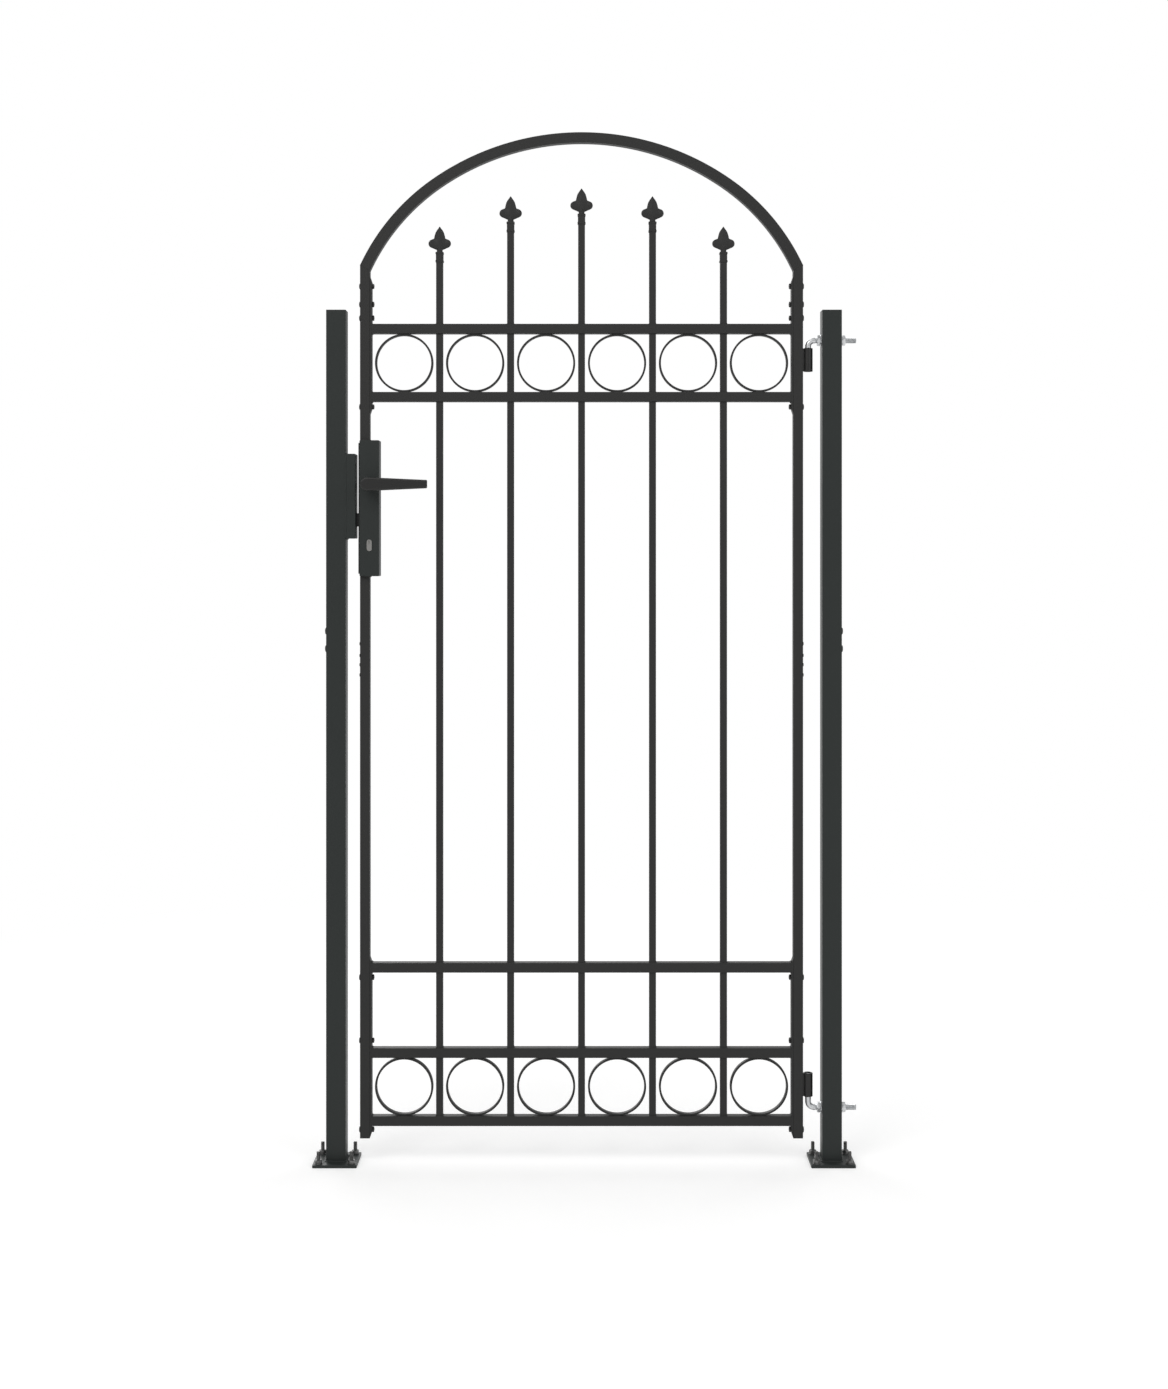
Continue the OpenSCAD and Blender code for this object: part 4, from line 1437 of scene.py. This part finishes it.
class GATE_OT_welds(GateOperator, bpy.types.Operator):
    """Lay the weld beads of the posts and of the leaf"""
    bl_idname = "gate.welds"
    bl_label = "Welds"

    def execute(self, context):
        welds, lip = context.scene.gate_welds, context.scene.gate_tubes.lip
        beads("post_welds", [*self.foot_runs(welds), *self.keep_runs(welds, lip)], "posts",
              "post_paint")
        beads("leaf_welds", [
            *self.frame_runs(welds), *self.ring_runs(welds, lip), *self.lock_runs(welds),
            *self.hinge_runs(welds), *self.mitre_runs(welds)], "leaf", "leaf_paint")
        return {"FINISHED"}

    @staticmethod
    def across(x, z, half, radius):
        """An open bead along Y, as long to the front as to the back."""
        return [Vector((x, y, z)) for y in (-half, half)], radius, False

    @staticmethod
    def upright(x, y, foot, top, radius):
        """An open bead up Z."""
        return [Vector((x, y, z)) for z in (foot, top)], radius, False

    @staticmethod
    def around(lo, hi, z, radius):
        """A closed bead round an upright tube, at a height."""
        off = radius * 0.2
        path = [(lo.x - off, lo.y - off), (hi.x + off, lo.y - off),
                (hi.x + off, hi.y + off), (lo.x - off, hi.y + off)]
        return [Vector((x, y, z)) for x, y in path], radius, True

    def foot_runs(self, welds):
        """Beads round the feet of the posts."""
        for post, foot in (("latch_post", "latch_foot_plate"),
                           ("hinge_post", "hinge_foot_plate")):
            lo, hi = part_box(post)
            yield self.around(lo, hi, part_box(foot)[1].z, welds.foot)

    def keep_runs(self, welds, lip):
        """Beads along the four edges of the keep that touch the post."""
        lo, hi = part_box("keep")
        half, inset, short = 17 * MM, 0.9 * MM, 1 * MM
        for z in (lo.z - EASE, hi.z + EASE):
            yield self.across(lo.x + lip, z, half, welds.joint)
        for y in (lo.y + inset, hi.y - inset):
            yield self.upright(lo.x, y, lo.z + short, hi.z - short, welds.joint)

    def frame_runs(self, welds):
        """Beads over and under the ends of the rails, and round the bars on top of them."""
        half = 8 * MM
        for i in NUMBERS:
            lo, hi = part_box(f"rail_{i}")
            for x, z in ((lo.x, lo.z), (lo.x, hi.z), (hi.x, lo.z), (hi.x, hi.z)):
                yield self.across(x, z, half, welds.joint)
        bar_boxes = [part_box(f"bar_{i}") for i in NUMBERS]
        for i in NUMBERS:
            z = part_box(f"rail_{i}")[1].z
            for lo, hi in bar_boxes:
                yield self.around(lo, hi, z, welds.fine)

    def ring_runs(self, welds, lip):
        """Two short beads where a ring touches a rail above it and below it."""
        spread, half, radius = 7 * MM, 5 * MM, welds.fine * 0.9
        for node in RINGS:
            for box in solids(node):
                for z in (box[0].z + lip, box[1].z - lip):
                    for side in (-1, 1):
                        yield self.across(middle(box).x + side * spread, z, half, radius)

    @staticmethod
    def lock_runs(welds):
        """Beads on three sides of the stile below the lock case and above it."""
        lo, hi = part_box("lock_case")
        inset = 2 * MM
        for node, z in (("latch_stile_lower", lo.z), ("latch_stile_upper", hi.z)):
            a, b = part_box(node)
            path = [(a.x + inset, a.y), (b.x, a.y), (b.x, b.y), (a.x + inset, b.y)]
            yield [Vector((x, y, z)) for x, y in path], welds.joint, False

    def hinge_runs(self, welds):
        """Beads along both sides of the hinge barrels' webs."""
        off, side, short = 0.6 * MM, 6.4 * MM, 2 * MM
        for node in BARRELS:
            lo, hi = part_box(node)
            for y in (-side, side):
                yield self.upright(lo.x + off, y, lo.z + short, hi.z - short, welds.hinge)

    @staticmethod
    def mitre_runs(welds):
        """Beads round both mitres, ground down to their faces."""
        lo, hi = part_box("arch")
        deep = welds.seam * 0.55
        for x_out, inward in ((lo.x, 1), (hi.x, -1)):
            xs = (x_out + inward * deep, x_out + inward * (tube_width() - deep))
            yield [Vector((x, y, mitre_height(x))) for x, y in (
                (xs[0], lo.y + deep), (xs[1], lo.y + deep),
                (xs[1], hi.y - deep), (xs[0], hi.y - deep))], welds.seam, True


class GATE_OT_finishes(GateOperator, bpy.types.Operator):
    """Give each CAD node that still shows the finish of its slot"""
    bl_idname = "gate.finishes"
    bl_label = "Finishes"

    def execute(self, context):
        slots = {node: entry["slot"] for entry in frame["record"]["materials"]
                 for node in entry.get("nodes", [])}
        for name, holder in frame["nodes"].items():
            if holder.hide_render:
                continue
            material = finish(slots.get(name, "zinc"))
            if holder.material_slots:
                for entry in holder.material_slots:
                    entry.material = material
            else:
                holder.data.materials.append(material)
        return {"FINISHED"}


class GATE_OT_stage(GateOperator, bpy.types.Operator):
    """Set the camera, the lamps, the floor and the backdrop"""
    bl_idname = "gate.stage"
    bl_label = "Stage"

    def execute(self, context):
        scene, stage = context.scene, context.scene.gate_stage
        scene.view_settings.view_transform = "Standard"
        lens = bpy.data.cameras.new("camera")
        lens.lens, lens.sensor_width, lens.shift_y = stage.lens, 36, stage.shift
        lens.clip_end = 200
        camera = placed(lens, "camera")
        camera.location = (-stage.eye_x, -stage.eye_back, stage.eye_height)
        camera.rotation_euler = (TURN / 4, 0, 0)
        scene.camera = camera
        for name, place, size, power, tone in (
                ("key", (-2.6, -3.4, 4.2), 2.6, 70, (1.0, 0.99, 0.97)),
                ("fill", (2.8, -3.2, 3.0), 2.6, 34, (0.97, 0.985, 1.0)),
                ("rear", (-2.6, 3.6, 2.6), 2.2, 31, (1.0, 1.0, 1.0)),
                ("rear_right", (2.6, 3.4, 3.6), 2.2, 28, (1.0, 1.0, 1.0))):
            self.lamp(name, place, size, power, tone)
        self.floor(stage)
        self.backdrop(stage)
        return {"FINISHED"}

    @staticmethod
    def lamp(name, place, size, power, tone):
        """A square soft lamp that faces the middle of the gate."""
        light = bpy.data.lights.new(name, "AREA")
        light.size, light.energy, light.color = size, power, tone
        holder = placed(light, name)
        holder.visible_camera = False
        holder.location = place
        aim = LAMP_AIM - Vector(place)
        holder.rotation_euler = aim.to_track_quat("-Z", "Y").to_euler()

    @staticmethod
    def seen(graph):
        """1 for the rays by which the eye, metal and glass see the background."""
        path = graph.node("ShaderNodeLightPath")
        return (path["Is Camera Ray"] + path["Is Glossy Ray"]
                + path["Is Transmission Ray"]).at_most(1.0)

    def floor(self, stage):
        """A pale floor that takes the gate's shadow and fades to white."""
        reach = stage.floor_reach
        mesh = bpy.data.meshes.new("floor")
        mesh.from_pydata([(-reach, -reach, 0), (reach, -reach, 0), (reach, reach, 0),
                          (-reach, reach, 0)], [], [(0, 1, 2, 3)])
        holder = placed(mesh, "floor")
        material = bpy.data.materials.new("floor")
        material.use_nodes = True
        graph = Graph(material.node_tree)
        where = graph.node("ShaderNodeTexCoord")["Object"]
        away = graph.node("ShaderNodeVectorMath", {"operation": "LENGTH"}, {0: where})
        seen = self.seen(graph)
        cloth = graph.node("ShaderNodeBsdfDiffuse", None, {
            "Color": (*[stage.floor_tone] * 3, 1)})
        lift = graph.node("ShaderNodeEmission", None, {"Strength": seen * stage.floor_lift})
        near = graph.node("ShaderNodeAddShader", None, {0: cloth, 1: lift})
        far = graph.node("ShaderNodeEmission", None, {"Strength": 1.0})
        mixed = graph.node("ShaderNodeMixShader", None, {
            0: away.ramp(stage.fade_start, stage.fade_end) * seen, 1: near, 2: far})
        graph.node("ShaderNodeOutputMaterial", None, {"Surface": mixed})
        mesh.materials.append(material)

    @staticmethod
    def backdrop(stage):
        """White to the eye, a room to gloss, and an even light to everything else."""
        world = bpy.data.worlds.new("backdrop")
        world.use_nodes = True
        bpy.context.scene.world = world
        graph = Graph(world.node_tree)
        path = graph.node("ShaderNodeLightPath")
        glossy = path["Is Glossy Ray"]
        plain = (path["Is Camera Ray"] + path["Is Transmission Ray"]).at_most(1.0)
        way = graph.node("ShaderNodeSeparateXYZ", None, {
            0: graph.node("ShaderNodeTexCoord")})
        # The room is lighter behind and above. A soft window behind it to the left lights
        # the tops of the tubes.
        base, behind, above, pane = 0.37, 0.11, 0.3, 2.5
        window = way["X"].ramp(0.1, -0.2) * way["Y"].ramp(0.2, 0.6) * way["Z"].ramp(0.12, 0.3)
        room = way["Y"].ramp(-0.7, 0.6) * behind + way["Z"].ramp(0.0, 0.7) * above + base
        room = room + window * pane
        strength = plain + glossy * room + (1 - (plain + glossy).at_most(1.0)) * stage.ambient
        light = graph.node("ShaderNodeBackground", None, {
            "Color": (1, 1, 1, 1), "Strength": strength})
        graph.node("ShaderNodeOutputWorld", None, {"Surface": light})


OPERATORS = (
    GATE_OT_posts, GATE_OT_caps, GATE_OT_feet, GATE_OT_anchors, GATE_OT_post_bolts,
    GATE_OT_hinges, GATE_OT_stiles, GATE_OT_arch, GATE_OT_rails, GATE_OT_bars,
    GATE_OT_spears, GATE_OT_rings, GATE_OT_straps, GATE_OT_keep, GATE_OT_lock,
    GATE_OT_handle, GATE_OT_welds, GATE_OT_finishes, GATE_OT_stage,
)


class GATE_PT_sidebar(bpy.types.Panel):
    """The gate's tools and sizes in the sidebar"""
    bl_idname = "GATE_PT_sidebar"
    bl_label = "Gate"
    bl_space_type = "VIEW_3D"
    bl_region_type = "UI"
    bl_category = "Gate"

    def draw(self, context):
        for operator in OPERATORS:
            self.layout.operator(operator.bl_idname)
        for name, group in GROUPS.items():
            box = self.layout.box()
            box.label(text=group.__doc__)
            for key in group.__annotations__:
                box.prop(getattr(context.scene, name), key)


def register():
    for kind in (*GROUPS.values(), *OPERATORS, GATE_PT_sidebar):
        bpy.utils.register_class(kind)
    for name, group in GROUPS.items():
        setattr(bpy.types.Scene, name, bpy.props.PointerProperty(type=group))


def unregister():
    for name in GROUPS:
        delattr(bpy.types.Scene, name)
    for kind in reversed((*GROUPS.values(), *OPERATORS, GATE_PT_sidebar)):
        bpy.utils.unregister_class(kind)


def main():
    """Builds the whole gate."""
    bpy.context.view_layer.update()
    register()
    for operator in OPERATORS:
        group, name = operator.bl_idname.split(".")
        getattr(getattr(bpy.ops, group), name)()


if __name__ == "__main__":
    main()
